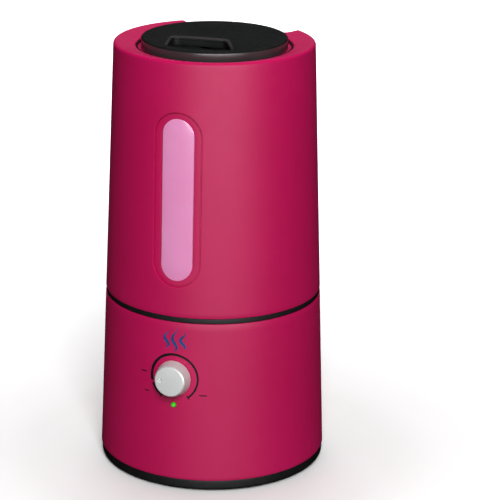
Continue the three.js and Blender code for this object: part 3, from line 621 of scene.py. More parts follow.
windowBottom = bezelLow - tankLook["windowMargin"]
windowTop = bezelHigh + tankLook["windowMargin"]
edge = tankLook["edge"]
tankRows = [(tankLow, edge), (tankLow + 0.15 * edge, edge * 0.3), (tankLow + edge, 0.0)]
tankRows += evenRows(tankLow + 4, windowBottom, 3)[:-1]
tankRows += evenRows(windowBottom, bezelLow, 4)[:-1] + evenRows(bezelLow, bezelHigh, slotRows - 8)[:-1]
tankRows += evenRows(bezelHigh, windowTop, 4) + evenRows(windowTop, tankLook["bandLow"], 3)[1:]
turn = tankLook["bezelRound"]
grooveFloor = bezelDepth + tankLook["grooveDepth"]
windowRings = [
    (bezelRadius + 1.0, 0.0), (bezelRadius + turn, 0.0), (bezelRadius + 0.3 * turn, 0.3 * turn * 0.5),
    (bezelRadius, turn), (bezelRadius - 0.05, grooveFloor), (bezelRadius - 1.0, grooveFloor),
    (bezelRadius - 1.1, bezelDepth), (bezelRadius - 1.5, bezelDepth),
    (lensRadius + gap + 0.5, bezelDepth), (lensRadius + gap + 0.1, bezelDepth + 0.1),
    (lensRadius + gap, bezelDepth + 0.45)]
tankShell = casing("tank_casing", tankRows, tankLook["strip"], [{
    "back": False, "bottom": windowBottom, "low": bezelLow + bezelRadius, "high": bezelHigh - bezelRadius,
    "rings": windowRings}], crimsonAbs, tankCrown)
settle(tankShell, "tank", "crimson_abs", "tank_shell")
print("tank casing:", len(tankShell.data.polygons), "faces")


# Window lens: a slightly crowned pane with a flange behind the wall

lensLook = {"crown": 0.6, "edge": 0.55, "thickness": 4.6, "flange": 3.0, "flangeDepth": 2.9}


def windowLens():
    look = lensLook
    centreLow, centreHigh = lensLow + lensRadius, lensHigh - lensRadius
    rings = []
    for share in (0.0, 0.35, 0.6, 0.8, 0.92):
        rings.append((lensRadius * share, bezelDepth - look["crown"] * (1 - share ** 2) + 0.05))
    rings += [(lensRadius - look["edge"], bezelDepth + 0.08), (lensRadius, bezelDepth + look["edge"] + 0.08)]
    rings += [(lensRadius, look["flangeDepth"]), (lensRadius + look["flange"], look["flangeDepth"])]
    rings += [(lensRadius + look["flange"], look["thickness"]), (0.0, look["thickness"])]
    loops = []
    for radius, depth in rings:
        loops.append([onCone(across, z, depth) for across, z in slotRing(radius, centreLow, centreHigh)])
    return finishMesh("level_lens", *lofted(loops, closed=False), pinkAcrylic)


settle(windowLens(), "tank", "pink_window", "level_window")


# Tank floor with its filling neck, mist chimney and the ring the nozzle turns in

floorLook = {"plateLow": 150.0, "hole": 18.3, "neckWall": 2.5, "threads": 3, "firstThread": 2.6, "pitch": 3.0,
             "threadOut": 0.32, "threadHalf": 1.1, "crestHalf": 0.3}
fillPlace = middle("fill_cap")[:2]
neckRadius = 19.0


def tankFloor():
    look = floorLook
    neckEnd, high = span("tank_floor", 2)
    outer = span("tank_floor", 0)[1]
    plate = tube("tank_floor_plate", outer, look["hole"], look["plateLow"], high, crimsonAbs, segments=160)
    neckTop = high - 0.01
    neck = turned("neck", [(0, neckEnd), (neckRadius, neckEnd, 0.6), (neckRadius, neckTop), (0, neckTop)],
                  crimsonAbs, fillPlace)
    bore = neckRadius - look["neckWall"]
    opening = rod("opening", bore, neckEnd - 1, high + 1, crimsonAbs, fillPlace, segments=96)
    threads = []
    for k in range(look["threads"]):
        z = neckEnd + look["firstThread"] + k * look["pitch"]
        root, crest = neckRadius - 1, neckRadius + look["threadOut"]
        threads.append(turned("thread", [
            (root, z - look["threadHalf"]), (crest, z - look["crestHalf"], 0.15),
            (crest, z + look["crestHalf"], 0.15), (root, z + look["threadHalf"])], crimsonAbs, fillPlace))
    return carve(plate, [neck, *threads], [opening])


settle(tankFloor(), "tank", "crimson_abs", "tank_floor")
chimneyLow, chimneyHigh = span("mist_chimney", 2)
chimneyRadius = 18.0
chimney = tube("mist_pipe", chimneyRadius, chimneyBore, chimneyLow, chimneyHigh, crimsonAbs, edge=0.5)
settle(chimney, "tank", "crimson_abs", "mist_chimney")
seatLow, seatHigh = span("nozzle_seat_ring", 2)
seatOuter = span("nozzle_seat_ring", 0)[1]
seatWall = 1.3
# a black ring lining the pocket wall; its black also stands in for the shade in the gap round the nozzle, as
# painted shade
seatRing = tube("seat_ring", seatOuter, seatOuter - seatWall, seatLow, seatHigh, satinBlackAbs, segments=160)
settle(seatRing, "tank", "black_abs", "nozzle_seat_ring")
print("tank fittings made")


# Base shell with holes for the knob's bush, the lamp and the cord gland

baseLook = {"strip": 9.5, "edge": 0.3, "knobPatch": 9.0, "lampPatch": 6.0, "glandPatch": 10.0, "bush": 4.4,
            "glandHole": 6.3, "lampHole": 2.25, "boss": 4.6, "bossBore": 2.2, "bossLow": 4.1,
            "bossHigh": 26.0, "rib": (9.4, 2.6), "ribLow": 15.6, "ribOut": 8.3}
lampDrop = 22.6
lampPoint = panelPoint(0, -lampDrop, 0)
glandHeight = middle("cord_gland").z
screwPlaces = [middle("base_screw_%d" % (i + 1)) for i in range(4)]
skirtTop = footLine


def hole(back, height, radius, reach):
    # a patch for a round hole with a slightly rounded edge
    return {"back": back, "bottom": height - reach, "low": height, "high": height,
            "rings": [(radius + 1.0, 0.0), (radius + 0.25, 0.0), (radius + 0.06, 0.08), (radius, 0.28)]}


def baseShell():
    look = baseLook
    edge = look["edge"]
    holes = [hole(True, glandHeight, look["glandHole"], look["glandPatch"]),
             hole(False, lampPoint[2], look["lampHole"], look["lampPatch"]),
             hole(False, knobHeight, look["bush"], look["knobPatch"])]
    rows = [(skirtTop, edge), (skirtTop + 0.15 * edge, edge * 0.3), (skirtTop + edge, 0.0)]
    for patch in holes:
        rows += evenRows(rows[-1][0], patch["bottom"], 3)[1:-1]
        rows += evenRows(patch["bottom"], 2 * patch["low"] - patch["bottom"], slotRows)
    rows += evenRows(rows[-1][0], baseTop - edge, 6)[1:]
    rows += [(baseTop - 0.15 * edge, edge * 0.3), (baseTop, edge)]
    shell = casing("base_casing", rows, look["strip"], holes, crimsonAbs)
    bosses = []
    for place in screwPlaces:
        angle = math.atan2(place.y, place.x)
        bosses.append(tube("boss", look["boss"], look["bossBore"], look["bossLow"], look["bossHigh"],
                           crimsonAbs, place[:2], segments=48))
        reach = place.xy.length + look["ribOut"]
        centre = (reach * math.cos(angle), reach * math.sin(angle))
        bosses.append(bar("rib", look["rib"], centre, look["ribLow"], look["bossHigh"], crimsonAbs, angle))
    return joined("base_casing_whole", [shell, *bosses])


baseCasing = settle(baseShell(), "base", "crimson_abs", "base_shell")
print("base casing:", len(baseCasing.data.polygons), "faces")


# Foot skirt and base plate: pockets for feet and screws, slots under the fan

plateLook = {"skirtRound": 2.5, "lipRound": 0.7, "footPocket": 8.3, "screwHole": 2.2, "headPocket": 4.2,
             "grilleRadius": 24.0, "grilleSlot": 3.0, "grilleStep": 6.5, "stand": 3.0, "standInset": 5,
             "footDepth": 1, "headDepth": 1.1, "screwCut": 5, "grilleCut": 6}
skirtRadius = widest("base_plate")[0]
plateLow, spigotTop = span("base_plate", 2)
spigotRadius = coneRadius(spigotTop) - wall - gap
footPlaces = [middle("rubber_foot_%d" % (i + 1)) for i in range(4)]
fanPlace = middle("fan_housing")


def basePlate():
    look = plateLook
    plate = turned("skirt_and_plate", [
        (0, plateLow), (skirtRadius, plateLow, look["skirtRound"]),
        (skirtRadius, skirtTop - gap, look["lipRound"]), (spigotRadius, skirtTop - gap),
        (spigotRadius, spigotTop, 0.5), (spigotRadius - wall, spigotTop, 0.5),
        (spigotRadius - wall, plateLow + wall, 1.0), (0, plateLow + wall)],
        satinBlackAbs, segments=192, steps=6)
    (left, right), (front, back) = span("driver_board", 0), span("driver_board", 1)
    inset, standTop = look["standInset"], span("driver_board", 2)[0] - gap
    stands = []
    for spot in [(x, y) for x in (left + inset, right - inset) for y in (front + inset, back - inset)]:
        stands.append(rod("stand", look["stand"], plateLow + 1, standTop, satinBlackAbs, spot, segments=32))
    cuts = []
    for place in footPlaces:
        cuts.append(rod("cut", look["footPocket"], 0, plateLow + look["footDepth"], satinBlackAbs, place[:2]))
    for place in screwPlaces:
        cuts.append(rod("cut", look["screwHole"], 0, look["screwCut"], satinBlackAbs, place[:2], segments=32))
        cuts.append(rod("cut", look["headPocket"], 0, plateLow + look["headDepth"], satinBlackAbs, place[:2]))
    slots = int((look["grilleRadius"] - look["grilleSlot"]) / look["grilleStep"])
    for i in range(-slots, slots + 1):
        offset = i * look["grilleStep"]
        length = 2 * math.sqrt(look["grilleRadius"] ** 2 - offset ** 2) - look["grilleSlot"]
        centre = (fanPlace.x, fanPlace.y + offset)
        cuts.append(bar("cut", (length, look["grilleSlot"]), centre, 0, look["grilleCut"], satinBlackAbs))
    return carve(plate, stands, cuts)


settle(basePlate(), "base", "black_abs", "base_plate")

# Feet: rubber discs with a dished sole
footLook = {"radius": 8.0, "top": 1.9, "dish": 0.35, "rim": 1.6}
padRadius = footLook["radius"]
pads = turned("rubber_feet", [
    (0, footLook["dish"]), (padRadius - footLook["rim"] - 0.5, footLook["dish"]),
    (padRadius - footLook["rim"], 0.0, 0.2), (padRadius - 0.3, 0.0, 0.2), (padRadius, 0.5, 0.3),
    (padRadius, footLook["top"], 0.2), (0, footLook["top"])], footRubber, segments=64)
grow(copiesOnCircle, pads, {
    "Copies": 4, "Circle Radius": footPlaces[0].xy.length * mm,
    "First Angle": math.atan2(footPlaces[0].y, footPlaces[0].x), "Material": footRubber})
settle(pads, "base", "black_rubber", *["rubber_foot_%d" % (i + 1) for i in range(4)])

# Screws: pan heads with a cross recess, under the plate
screwLook = {"head": 3.9, "headHeight": 0.9, "shank": 1.7, "thread": 1.9, "pitch": 1.3, "recess": 0.6,
             "cross": (4.4, 0.8)}
screwLow, screwHigh = span("base_screw_1", 2)


def screwPiece():
    look = screwLook
    neck = screwLow + look["headHeight"]
    corners = [(0, screwLow), (look["head"], screwLow, 0.35), (look["head"], neck), (look["shank"], neck)]
    turns = int((screwHigh - neck - 2) / look["pitch"])
    for i in range(turns):
        z = neck + 0.6 + i * look["pitch"]
        corners += [(look["shank"], z), (look["thread"], z + 0.3), (look["shank"], z + 0.6)]
    corners += [(look["shank"] * 0.8, screwHigh - 0.8), (0, screwHigh)]
    screw = turned("base_screws", corners, zincSteel, segments=32)
    cross = [bar("cut", look["cross"], (0, 0), screwLow - 1, screwLow + look["recess"], zincSteel, angle)
             for angle in (0, math.pi / 2)]
    return carve(screw, (), cross)


screws = grow(copiesOnCircle, screwPiece(), {
    "Copies": 4, "Circle Radius": screwPlaces[0].xy.length * mm,
    "First Angle": math.atan2(screwPlaces[0].y, screwPlaces[0].x), "Material": zincSteel})
settle(screws, "base", "zinc_steel", *["base_screw_%d" % (i + 1) for i in range(4)])
print("foot of the base made")


# Water trough: the seam ring is its flange; air tower, float post and valve pin stand in it

troughLook = {"radius": 78.0, "shell": 2.4, "depth": 32.8, "well": 20.0, "wellDepth": 10.8, "wellHole": 8.0,
              "edge": 0.35, "tower": 7.4, "towerWall": 2.0, "towerHeight": 24.6, "post": 3.0,
              "postHeight": 20, "pin": 2.2, "pinTop": 124.5}
flangeRadius = widest("water_trough")[0]
troughLow, troughHigh = span("water_trough", 2)
flangeLow, flangeHigh = baseTop + gap, tankLow - gap
basinFloor = flangeHigh - troughLook["depth"]
wellFloor = basinFloor - troughLook["wellDepth"]
towerPlace = middle("air_guard")[:2]
floatPlace = middle("float_ring")[:2]


def waterTrough():
    look = troughLook
    outside, under = look["radius"] + look["shell"], basinFloor - look["shell"]
    wellOut = look["well"] + look["shell"]
    trough = turned("basin_and_seam_ring", [
        (look["wellHole"], troughLow, 0.4), (wellOut, troughLow, 1.5), (wellOut, under, 1.5),
        (outside, under, 3), (outside, flangeLow), (flangeRadius, flangeLow, look["edge"]),
        (flangeRadius, flangeHigh, look["edge"]), (outside, flangeHigh),
        (outside, troughHigh, 0.8), (look["radius"], troughHigh, 0.8),
        (look["radius"], basinFloor, 4), (look["well"], basinFloor, 1.5), (look["well"], wellFloor, 2),
        (look["wellHole"], wellFloor, 0.4)], satinBlackAbs, segments=192, steps=6)
    towerTop, postTop = basinFloor + look["towerHeight"], basinFloor + look["postHeight"]
    pinTop = look["pinTop"]
    towerOut = look["tower"] + look["towerWall"]
    root = under + 0.5
    joins = [
        turned("join", [(0, root), (towerOut + 1.2, root), (towerOut + 1.2, basinFloor + 1, 0.8),
                        (towerOut, basinFloor + 3, 2), (towerOut, towerTop, 0.6), (0, towerTop)],
               satinBlackAbs, towerPlace),
        turned("join", [(0, root), (look["post"], root), (look["post"], postTop, 0.5), (0, postTop)],
               satinBlackAbs, floatPlace, 48),
        turned("join", [(0, root), (look["pin"], root), (look["pin"], pinTop, 0.8), (0, pinTop)],
               satinBlackAbs, fillPlace, 48)]
    passage = rod("cut", look["tower"], under - 1, towerTop + 1, satinBlackAbs, towerPlace)
    return carve(trough, joins, [passage])


settle(waterTrough(), "base", "black_abs", "water_trough")

# Splash guard over the air tower: a shallow lid on three legs
guardLook = {"radius": 10.9, "lid": 1.6, "lip": 2.2, "crown": 0.8, "legs": 3, "legRing": 5.4, "leg": (2, 2)}
guardLow, guardHigh = span("air_guard", 2)
lidRadius, lidLow = guardLook["radius"], guardHigh - guardLook["lid"]
lid = turned("guard_lid", [
    (0, lidLow), (lidRadius - 1, lidLow), (lidRadius, guardHigh - guardLook["lip"], 0.2),
    (lidRadius, guardHigh - guardLook["crown"], 0.5), (0, guardHigh)], satinBlackAbs, towerPlace)
legs, ring = [], guardLook["legRing"]
for k in range(guardLook["legs"]):
    angle = 2 * math.pi * k / guardLook["legs"]
    spot = (towerPlace[0] + ring * math.cos(angle), towerPlace[1] + ring * math.sin(angle))
    legs.append(bar("leg", guardLook["leg"], spot, guardLow, lidLow + 0.4, satinBlackAbs, angle))
settle(joined("splash_guard", [lid, *legs]), "base", "black_abs", "air_guard")

# Float ring with a step near its top, and the clip that keeps it on its post
floatLook = {"bore": 3.5, "wide": 12, "narrow": 10.5, "step": 3, "clipWide": 6, "clipNarrow": 5.2}
floatLow, floatHigh = span("float_ring", 2)
floatPiece = turned("float", [
    (floatLook["bore"], floatLow, 0.6), (floatLook["wide"], floatLow, 1.5),
    (floatLook["wide"], floatHigh - floatLook["step"], 0.8),
    (floatLook["narrow"], floatHigh - floatLook["step"] + 1, 0.6),
    (floatLook["narrow"], floatHigh, 0.8), (floatLook["bore"], floatHigh, 0.6)],
    whitePolypropylene, floatPlace)
settle(floatPiece, "float", "white_plastic", "float_ring")
clipLow, clipHigh = span("float_retainer", 2)
clip = turned("float_clip", [
    (0, clipLow), (floatLook["clipWide"], clipLow, 0.4), (floatLook["clipNarrow"], clipHigh, 0.6),
    (0, clipHigh)], satinBlackAbs, floatPlace, 64)
settle(clip, "base", "black_abs", "float_retainer")
print("water side made")


# Fan wheel: curved blades under a disc

fanLook = {"blades": 14, "tip": 30.0, "root": 21.5, "sweep": 0.34, "bow": 0.3, "thickness": 1.3, "hub": 11.0,
           "hubLow": 18.4, "disc": 29.6, "discHeight": 1.6, "bladeSteps": 8}


def fanWheel():
    look = fanLook
    low, high = span("fan_impeller", 2)
    centre = fanPlace[:2]
    discLow, inDisc = high - look["discHeight"], high - look["discHeight"] / 2
    disc = turned("disc", [(0, discLow), (look["disc"], discLow, 0.4), (look["disc"], high, 0.4), (0, high)],
                  whitePolypropylene, centre)
    hubLow = look["hubLow"]
    hub = turned("hub", [(0, hubLow), (look["hub"], hubLow, 0.5), (look["hub"], inDisc), (0, inDisc)],
                 whitePolypropylene, centre)
    sides = ([], [])
    for k in range(look["bladeSteps"] + 1):
        t = k / look["bladeSteps"]
        radius = look["root"] + (look["tip"] - look["root"]) * t
        angle = look["sweep"] * (t + look["bow"] * 4 * (t - 0.5) ** 2)
        half = look["thickness"] / 2 / radius
        for side, sign in zip(sides, (-1, 1)):
            side.append((radius * math.cos(angle + sign * half), radius * math.sin(angle + sign * half)))
    outline = sides[0] + sides[1][::-1]
    loops = [[(x, y, z) for x, y in outline] for z in (low, inDisc)]
    vertices, faces = lofted(loops, closed=False)
    size = len(outline)
    faces += [tuple(range(size))[::-1], tuple(range(size, 2 * size))]
    blade = finishMesh("blades", vertices, faces, whitePolypropylene)
    grow(copiesOnCircle, blade, {
        "Copies": look["blades"], "Circle Radius": 0.0, "Centre": Vector((*centre, 0)) * mm,
        "Material": whitePolypropylene})
    return joined("fan_wheel", [disc, hub, blade])


settle(fanWheel(), "fan_rotor", "white_plastic", "fan_impeller")


# Fill cap with grip ribs, and the spring valve inside it

capLook = {"ribs": 36, "ribDepth": 0.6, "ribRadius": 0.75, "bore": 19.4, "floor": 2.4, "valveHole": 4.6,
           "gasketOuter": 18.7, "gasketInner": 15.0}


def fillCap():
    look = capLook
    low, high = span("fill_cap", 2)
    radius = (span("fill_cap", 0)[1] - span("fill_cap", 0)[0]) / 2 - look["ribDepth"]
    cup = turned("cup", [
        (look["valveHole"], low, 0.4), (radius, low, 1.0), (radius, high, 0.6), (look["bore"], high, 0.3),
        (look["bore"], low + look["floor"]), (look["valveHole"], low + look["floor"], 0.4)],
        satinBlackAbs, fillPlace)
    rib = rod("ribs", look["ribRadius"], low + 1.4, high - 1.0, satinBlackAbs, edge=0.3, segments=12, steps=2)
    grow(copiesOnCircle, rib, {
        "Copies": look["ribs"], "Circle Radius": (radius - 0.15) * mm, "Centre": Vector((*fillPlace, 0)) * mm,
        "Material": satinBlackAbs})
    return joined("ribbed_fill_cap", [cup, rib])


settle(fillCap(), "filler", "black_abs", "fill_cap")
sealLow, sealHigh = span("cap_seal", 2)
seal = tube("cap_gasket", capLook["gasketOuter"], capLook["gasketInner"], sealLow, sealHigh, siliconeRubber,
            fillPlace, 0.7)
settle(seal, "filler", "silicone", "cap_seal")

# Valve: a ported cage, and a plunger with its washer and return spring
valveLook = {"cage": 10.2, "cageWall": 1.4, "stemHole": 2.7, "port": (60, 5), "portLow": 2.7, "portHigh": 4,
             "stem": 2.2, "disc": 7.5, "discHeight": 2, "washerBore": 2.5, "travel": 3.5}
cageLow, cageHigh = span("valve_cage", 2)
cageOut, cageIn = valveLook["cage"], valveLook["cage"] - valveLook["cageWall"]
cageRoof, stemHole = cageHigh - valveLook["cageWall"], valveLook["stemHole"]
cage = turned("cage", [
    (cageIn, cageLow), (cageOut, cageLow, 0.3), (cageOut, cageHigh, 1.0), (stemHole, cageHigh, 0.3),
    (stemHole, cageRoof, 0.3), (cageIn, cageRoof, 0.6)], whitePolypropylene, fillPlace)
ports = [bar("port", valveLook["port"], fillPlace, cageLow + valveLook["portLow"],
             cageHigh - valveLook["portHigh"], whitePolypropylene, angle) for angle in (0, math.pi / 2)]
settle(carve(cage, (), ports), "filler", "white_plastic", "valve_cage")
stemLow, stemHigh = span("valve_plunger", 2)
discLow = span("valve_seal", 2)[1] + gap
discHigh = discLow + valveLook["discHeight"]
stemRadius, discRadius = valveLook["stem"], valveLook["disc"]
plunger = turned("plunger", [
    (0, stemLow), (stemRadius, stemLow, 0.8), (stemRadius, discLow), (discRadius, discLow, 0.3),
    (discRadius, discHigh, 0.3), (stemRadius, discHigh, 0.4), (stemRadius, stemHigh, 0.5), (0, stemHigh)],
    whitePolypropylene, fillPlace, 64)
settle(plunger, "valve", "white_plastic", "valve_plunger")
washer = tube("valve_washer", discRadius, valveLook["washerBore"], *span("valve_seal", 2), siliconeRubber,
              fillPlace, 0.2, 64)
settle(washer, "valve", "silicone", "valve_seal")

springLook = {"turns": 3.0, "coil": 5.5, "wire": 0.45}
springLow, springHigh = span("valve_spring", 2)
springSeed = bpy.data.objects.new("return_spring", bpy.data.meshes.new("return_spring"))
bpy.context.scene.collection.objects.link(springSeed)
springValues = {
    "Turns": springLook["turns"], "Coil Radius": springLook["coil"] * mm,
    "Wire Radius": springLook["wire"] * mm, "Height": (springHigh - springLow - 2 * springLook["wire"]) * mm,
    "Centre": Vector((*fillPlace, springLow + springLook["wire"])) * mm, "Material": zincSteel}
spring = grow(woundSpring, springSeed, springValues)
settle(spring, "valve", "zinc_steel", "valve_spring")
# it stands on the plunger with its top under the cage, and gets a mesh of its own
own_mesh(spring)
print("fill cap and valve made")


# Nozzle: a round cap with a mist slot, its chute and the seat that turns in the tank's pocket

nozzleLook = {"points": 256, "chamfer": 1.0, "rimRound": 1.5, "lid": 2.4, "skirtWall": 2.0, "slotCorner": 6.0,
              "chuteWall": 1.6, "slotFrontRadius": 48.4, "slotFrontAngles": (-53.9, -120.0),
              "slotFrontSteps": 12, "slotBack": ((-31.4, -10.9), (12.7, -9.1)),
              "topRings": (0.2, 0.45, 0.7, 0.93, 1.0), "rimSteps": 5}
capRadius = span("nozzle_cap", 0)[1]
capLow, capTop = span("nozzle_cap", 2)
slotMiddle = Vector((-2.5, -28.0))


def slotOutline(offset):
    # the slot's outline, moved out by offset all round, where rays from its middle to the cap's edge meet it
    look = nozzleLook
    radius = look["slotFrontRadius"] + offset
    corner = look["slotCorner"] + offset
    (first, last), steps = look["slotFrontAngles"], look["slotFrontSteps"]
    onFront = [math.radians(first + (last - first) * k / steps) for k in range(steps + 1)]
    front = [Vector((radius * math.cos(a), radius * math.sin(a))) for a in onFront]
    backLeft, backRight = (Vector(c) for c in look["slotBack"])
    along = (backRight - backLeft).normalized()
    out = Vector((-along.y, along.x)) * offset
    rightSide = (front[0] - backRight).normalized()
    leftSide = (front[-1] - backLeft).normalized()
    pushRight = Vector((-rightSide.y, rightSide.x)) * offset
    pushLeft = Vector((leftSide.y, -leftSide.x)) * offset
    corners = [(*(backLeft + out + pushLeft), corner), (*(backRight + out + pushRight), corner)]
    corners += [(*(front[0] + pushRight), corner), *[tuple(p) for p in front[2:-2]]]
    corners.append((*(front[-1] + pushLeft), corner))
    outline = [Vector(p) for p in rounded(corners, 10)]
    hits = []
    for k in range(look["points"]):
        angle = 2 * math.pi * k / look["points"]
        ray = Vector((capRadius * math.cos(angle), capRadius * math.sin(angle))) - slotMiddle
        best = None
        for i, start in enumerate(outline):
            side = outline[(i + 1) % len(outline)] - start
            cross = ray.x * side.y - ray.y * side.x
            if abs(cross) < 1e-9:
                continue
            toStart = start - slotMiddle
            reach = (toStart.x * side.y - toStart.y * side.x) / cross
            share = (toStart.x * ray.y - toStart.y * ray.x) / cross
            if reach > 0 and -1e-6 <= share <= 1 + 1e-6:
                best = reach if best is None else max(best, reach)
        hits.append(slotMiddle + ray * best)
    return hits


def nozzleCap():
    look = nozzleLook
    slot, wide = slotOutline(0.0), slotOutline(look["chamfer"])
    angles = [2 * math.pi * k / look["points"] for k in range(look["points"])]
    circle = [Vector((math.cos(angle), math.sin(angle))) for angle in angles]

    def level(points, z):
        return [(p.x, p.y, z) for p in points]

    edge = capRadius - look["rimRound"]
    loops = [level(slot, capTop - look["lid"]), level(slot, capTop - look["chamfer"]),
             level([a.lerp(b, 0.5) for a, b in zip(slot, wide)], capTop - 0.45 * look["chamfer"]),
             level(wide, capTop - 0.06)]
    loops.append(level([p.lerp(c * edge, 0.03) for p, c in zip(wide, circle)], capTop))
    for t in look["topRings"]:
        loops.append(level([p.lerp(c * edge, t) for p, c in zip(wide, circle)], capTop))
    for k in range(1, look["rimSteps"] + 1):
        bend = math.radians(90 * k / look["rimSteps"])
        radius, z = edge + look["rimRound"] * math.sin(bend), capTop - look["rimRound"] * (1 - math.cos(bend))
        loops.append(level([c * radius for c in circle], z))
    inner = capRadius - look["skirtWall"]
    for radius, z in ((capRadius, capLow + 0.5), (capRadius - 0.15, capLow + 0.15), (capRadius - 0.5, capLow),
                      (inner + 0.3, capLow), (inner, capLow + 0.3), (inner, capTop - look["lid"] - 0.5),
                      (inner - 0.5, capTop - look["lid"])):
        loops.append(level([c * radius for c in circle], z))
    disc = finishMesh("nozzle_disc", *lofted(loops), satinBlackAbs, 35)
    disc.data.materials.append(polishedBlackPaintedSheen)
    # the rim and the slot's chamfer take the lighter polished material: a painted reflection on the rim and a
    # painted highlight along the slot edge
    for face in disc.data.polygons:
        out, down = face.center.xy.length / mm, capTop - face.center.z / mm
        onRim = out > capRadius - 0.4 and down > 1.0
        onSlotEdge = out < 0.9 * capRadius and 0.02 * look["chamfer"] < down < 0.98 * look["chamfer"]
        face.material_index = 1 if onRim or onSlotEdge else 0
    return disc


settle(nozzleCap(), "nozzle", "black_abs", "nozzle_cap")
chuteLow, chuteHigh = span("nozzle_chute", 2)
inside, outside = slotOutline(0.0), slotOutline(nozzleLook["chuteWall"])
chuteLoops = [[(p.x, p.y, z) for p in loop] for loop, z in (
    (inside, chuteLow), (outside, chuteLow), (outside, chuteHigh), (inside, chuteHigh))]
settle(finishMesh("mist_chute", *lofted(chuteLoops), satinBlackAbs), "nozzle", "black_abs", "nozzle_chute")

seatLook = {"tube": 15.7, "wall": 1.8, "floor": 1.4}
seatBaseLow, seatBaseHigh = span("nozzle_base", 2)
seatBaseRadius = span("nozzle_base", 0)[1]
seatBaseIn, seatBore = seatBaseRadius - seatLook["wall"], seatLook["tube"] - seatLook["wall"]
seatUnder = pocketFloor + gap
seatFloor = seatUnder + seatLook["floor"]
seat = turned("nozzle_seat", [
    (seatBore, seatBaseLow, 0.4), (seatLook["tube"], seatBaseLow, 0.6), (seatLook["tube"], seatUnder, 0.8),
    (seatBaseRadius, seatUnder, 0.4), (seatBaseRadius, seatBaseHigh, 0.4), (seatBaseIn, seatBaseHigh, 0.4),
    (seatBaseIn, seatFloor, 0.8), (seatBore, seatFloor, 0.5)], satinBlackAbs, segments=160)
settle(seat, "nozzle_seat", "black_abs", "nozzle_base")
print("nozzle made")


# Mist knob with its pointer dimple, and the green lamp under it

knobLook = {"radius": 14.4, "low": 0.5, "high": 10.5, "taper": 1.8, "chamfer": 0.9, "bore": 3.2,
            "boreTop": 7.5, "nutSpace": 8.0, "nutTop": 3.2, "dimple": 1.9, "dimpleDepth": 2.2,
            "dimpleOut": 7.9, "boss": 0.8, "bossDepth": 0.5}


def mistKnob():
    look = knobLook
    top = look["radius"] - look["taper"]
    knob = turned("mist_dial", [
        (0, look["boreTop"]), (look["bore"], look["boreTop"]), (look["bore"], look["nutTop"]),
        (look["nutSpace"], look["nutTop"]), (look["nutSpace"], look["low"]),
        (look["radius"], look["low"], 0.3), (top, look["high"] - look["chamfer"], 0.35),
        (top - look["chamfer"], look["high"], 0.35), (0, look["high"])],
        silverAbs, segments=160, place=panelPoint, steps=6)

    def atDimple(across, up, out):
        return panelPoint(across - look["dimpleOut"], up, out + look["high"])

    # the dimple is a ring cut round a low boss
    depth, bossTop = -look["dimpleDepth"], -look["bossDepth"]
    cutter = turned("cut", [
        (0, bossTop), (look["boss"], bossTop, 0.2), (look["boss"] + 0.1, depth),
        (look["dimple"] - 0.1, depth), (look["dimple"], 1.0), (0, 1.0)],
        silverAbs, segments=48, place=atDimple)
    return carve(knob, (), [cutter], 28)


settle(mistKnob(), "knob", "silver_abs", "mist_knob")

lampLook = {"radius": 1.95, "flange": 2.95, "back": -4.6, "flangeFront": -2.9, "proud": 0.1}


def atLamp(across, up, out):
    return panelPoint(across, up - lampDrop, out)


lampRadius, flangeOut = lampLook["radius"], lampLook["flange"]
domeAngles = [math.radians(a) for a in range(0, 90, 10)]
dome = [(lampRadius * math.cos(a), lampLook["proud"] + lampRadius * math.sin(a)) for a in domeAngles]
lamp = turned("power_lamp", [
    (0, lampLook["back"]), (flangeOut, lampLook["back"], 0.2), (flangeOut, lampLook["flangeFront"], 0.2),
    (lampRadius, lampLook["flangeFront"]), *dome, (0, lampRadius + lampLook["proud"])],
    greenLens, segments=48, place=atLamp)
settle(lamp, "base", "green_lamp", "lamp_lens")
print("knob and lamp made")


# Printed scale round the knob and a generic mist sign above it, thin ribbons of ink on the wall

# angles run clockwise from the top; ticks are (across, height, length); wisps are (across, height, phase)
printLook = {
    "radius": 19.3, "thick": 2.4, "thin": 1.4, "fine": 0.9, "proud": 0.06, "sunk": 0.15,
    "start": 212.6, "gap": (249.0, 255.5), "end": 502.4, "startHook": 1.6, "endHook": 1.8,
    "ticks": ((-27.0, 95.5, 5.0), (-24.0, 79.7, 4.0), (23.5, 81.5, 6.0)),
    "signHeight": 126.0, "wisps": ((-6.8, 14.0, 0.0), (0.0, 19.0, 0.4), (6.8, 14.0, 0.8)), "sway": 1.8,
    "waves": 1.25, "wispThin": 0.6, "wispSwell": 1.9, "wispSteps": 24}


def stroke(path):
    # a closed ribbon along (x, z, width) points on the front wall
    loops = []
    for i, (x, z, width) in enumerate(path):
        before, after = path[max(0, i - 1)], path[min(len(path) - 1, i + 1)]
        along = Vector((after[0] - before[0], after[1] - before[1])).normalized()
        offX, offZ = -along.y * width / 2, along.x * width / 2
        left, right = (x + offX, z + offZ), (x - offX, z - offZ)
        loops.append([onCone(*left, -printLook["proud"]), onCone(*right, -printLook["proud"]),
                      onCone(*right, printLook["sunk"]), onCone(*left, printLook["sunk"])])
    vertices, faces = lofted(loops, closed=False)
    last = len(vertices) - 4
    return vertices, faces + [(3, 2, 1, 0), (last, last + 1, last + 2, last + 3)]


def printed(name, paths, ink):
    vertices, faces = [], []
    for path in paths:
        more, moreFaces = stroke(path)
        faces += [tuple(len(vertices) + index for index in face) for face in moreFaces]
        vertices += more
    return finishMesh(name, vertices, faces, ink)


def dialPoint(degrees, radius, width):
    angle = math.radians(degrees)
    return (radius * math.sin(angle), knobHeight + radius * math.cos(angle), width)


def dialArc(start, end, widthFrom, widthTo):
    steps = max(6, int(abs(end - start) / 2.5))
    shares = [k / steps for k in range(steps + 1)]
    return [dialPoint(start + (end - start) * t, printLook["radius"], widthFrom + (widthTo - widthFrom) * t)
            for t in shares]


def dialHook(degrees, reach):
    return [dialPoint(degrees, printLook["radius"] + r, printLook["fine"]) for r in (-reach, 0, reach)]


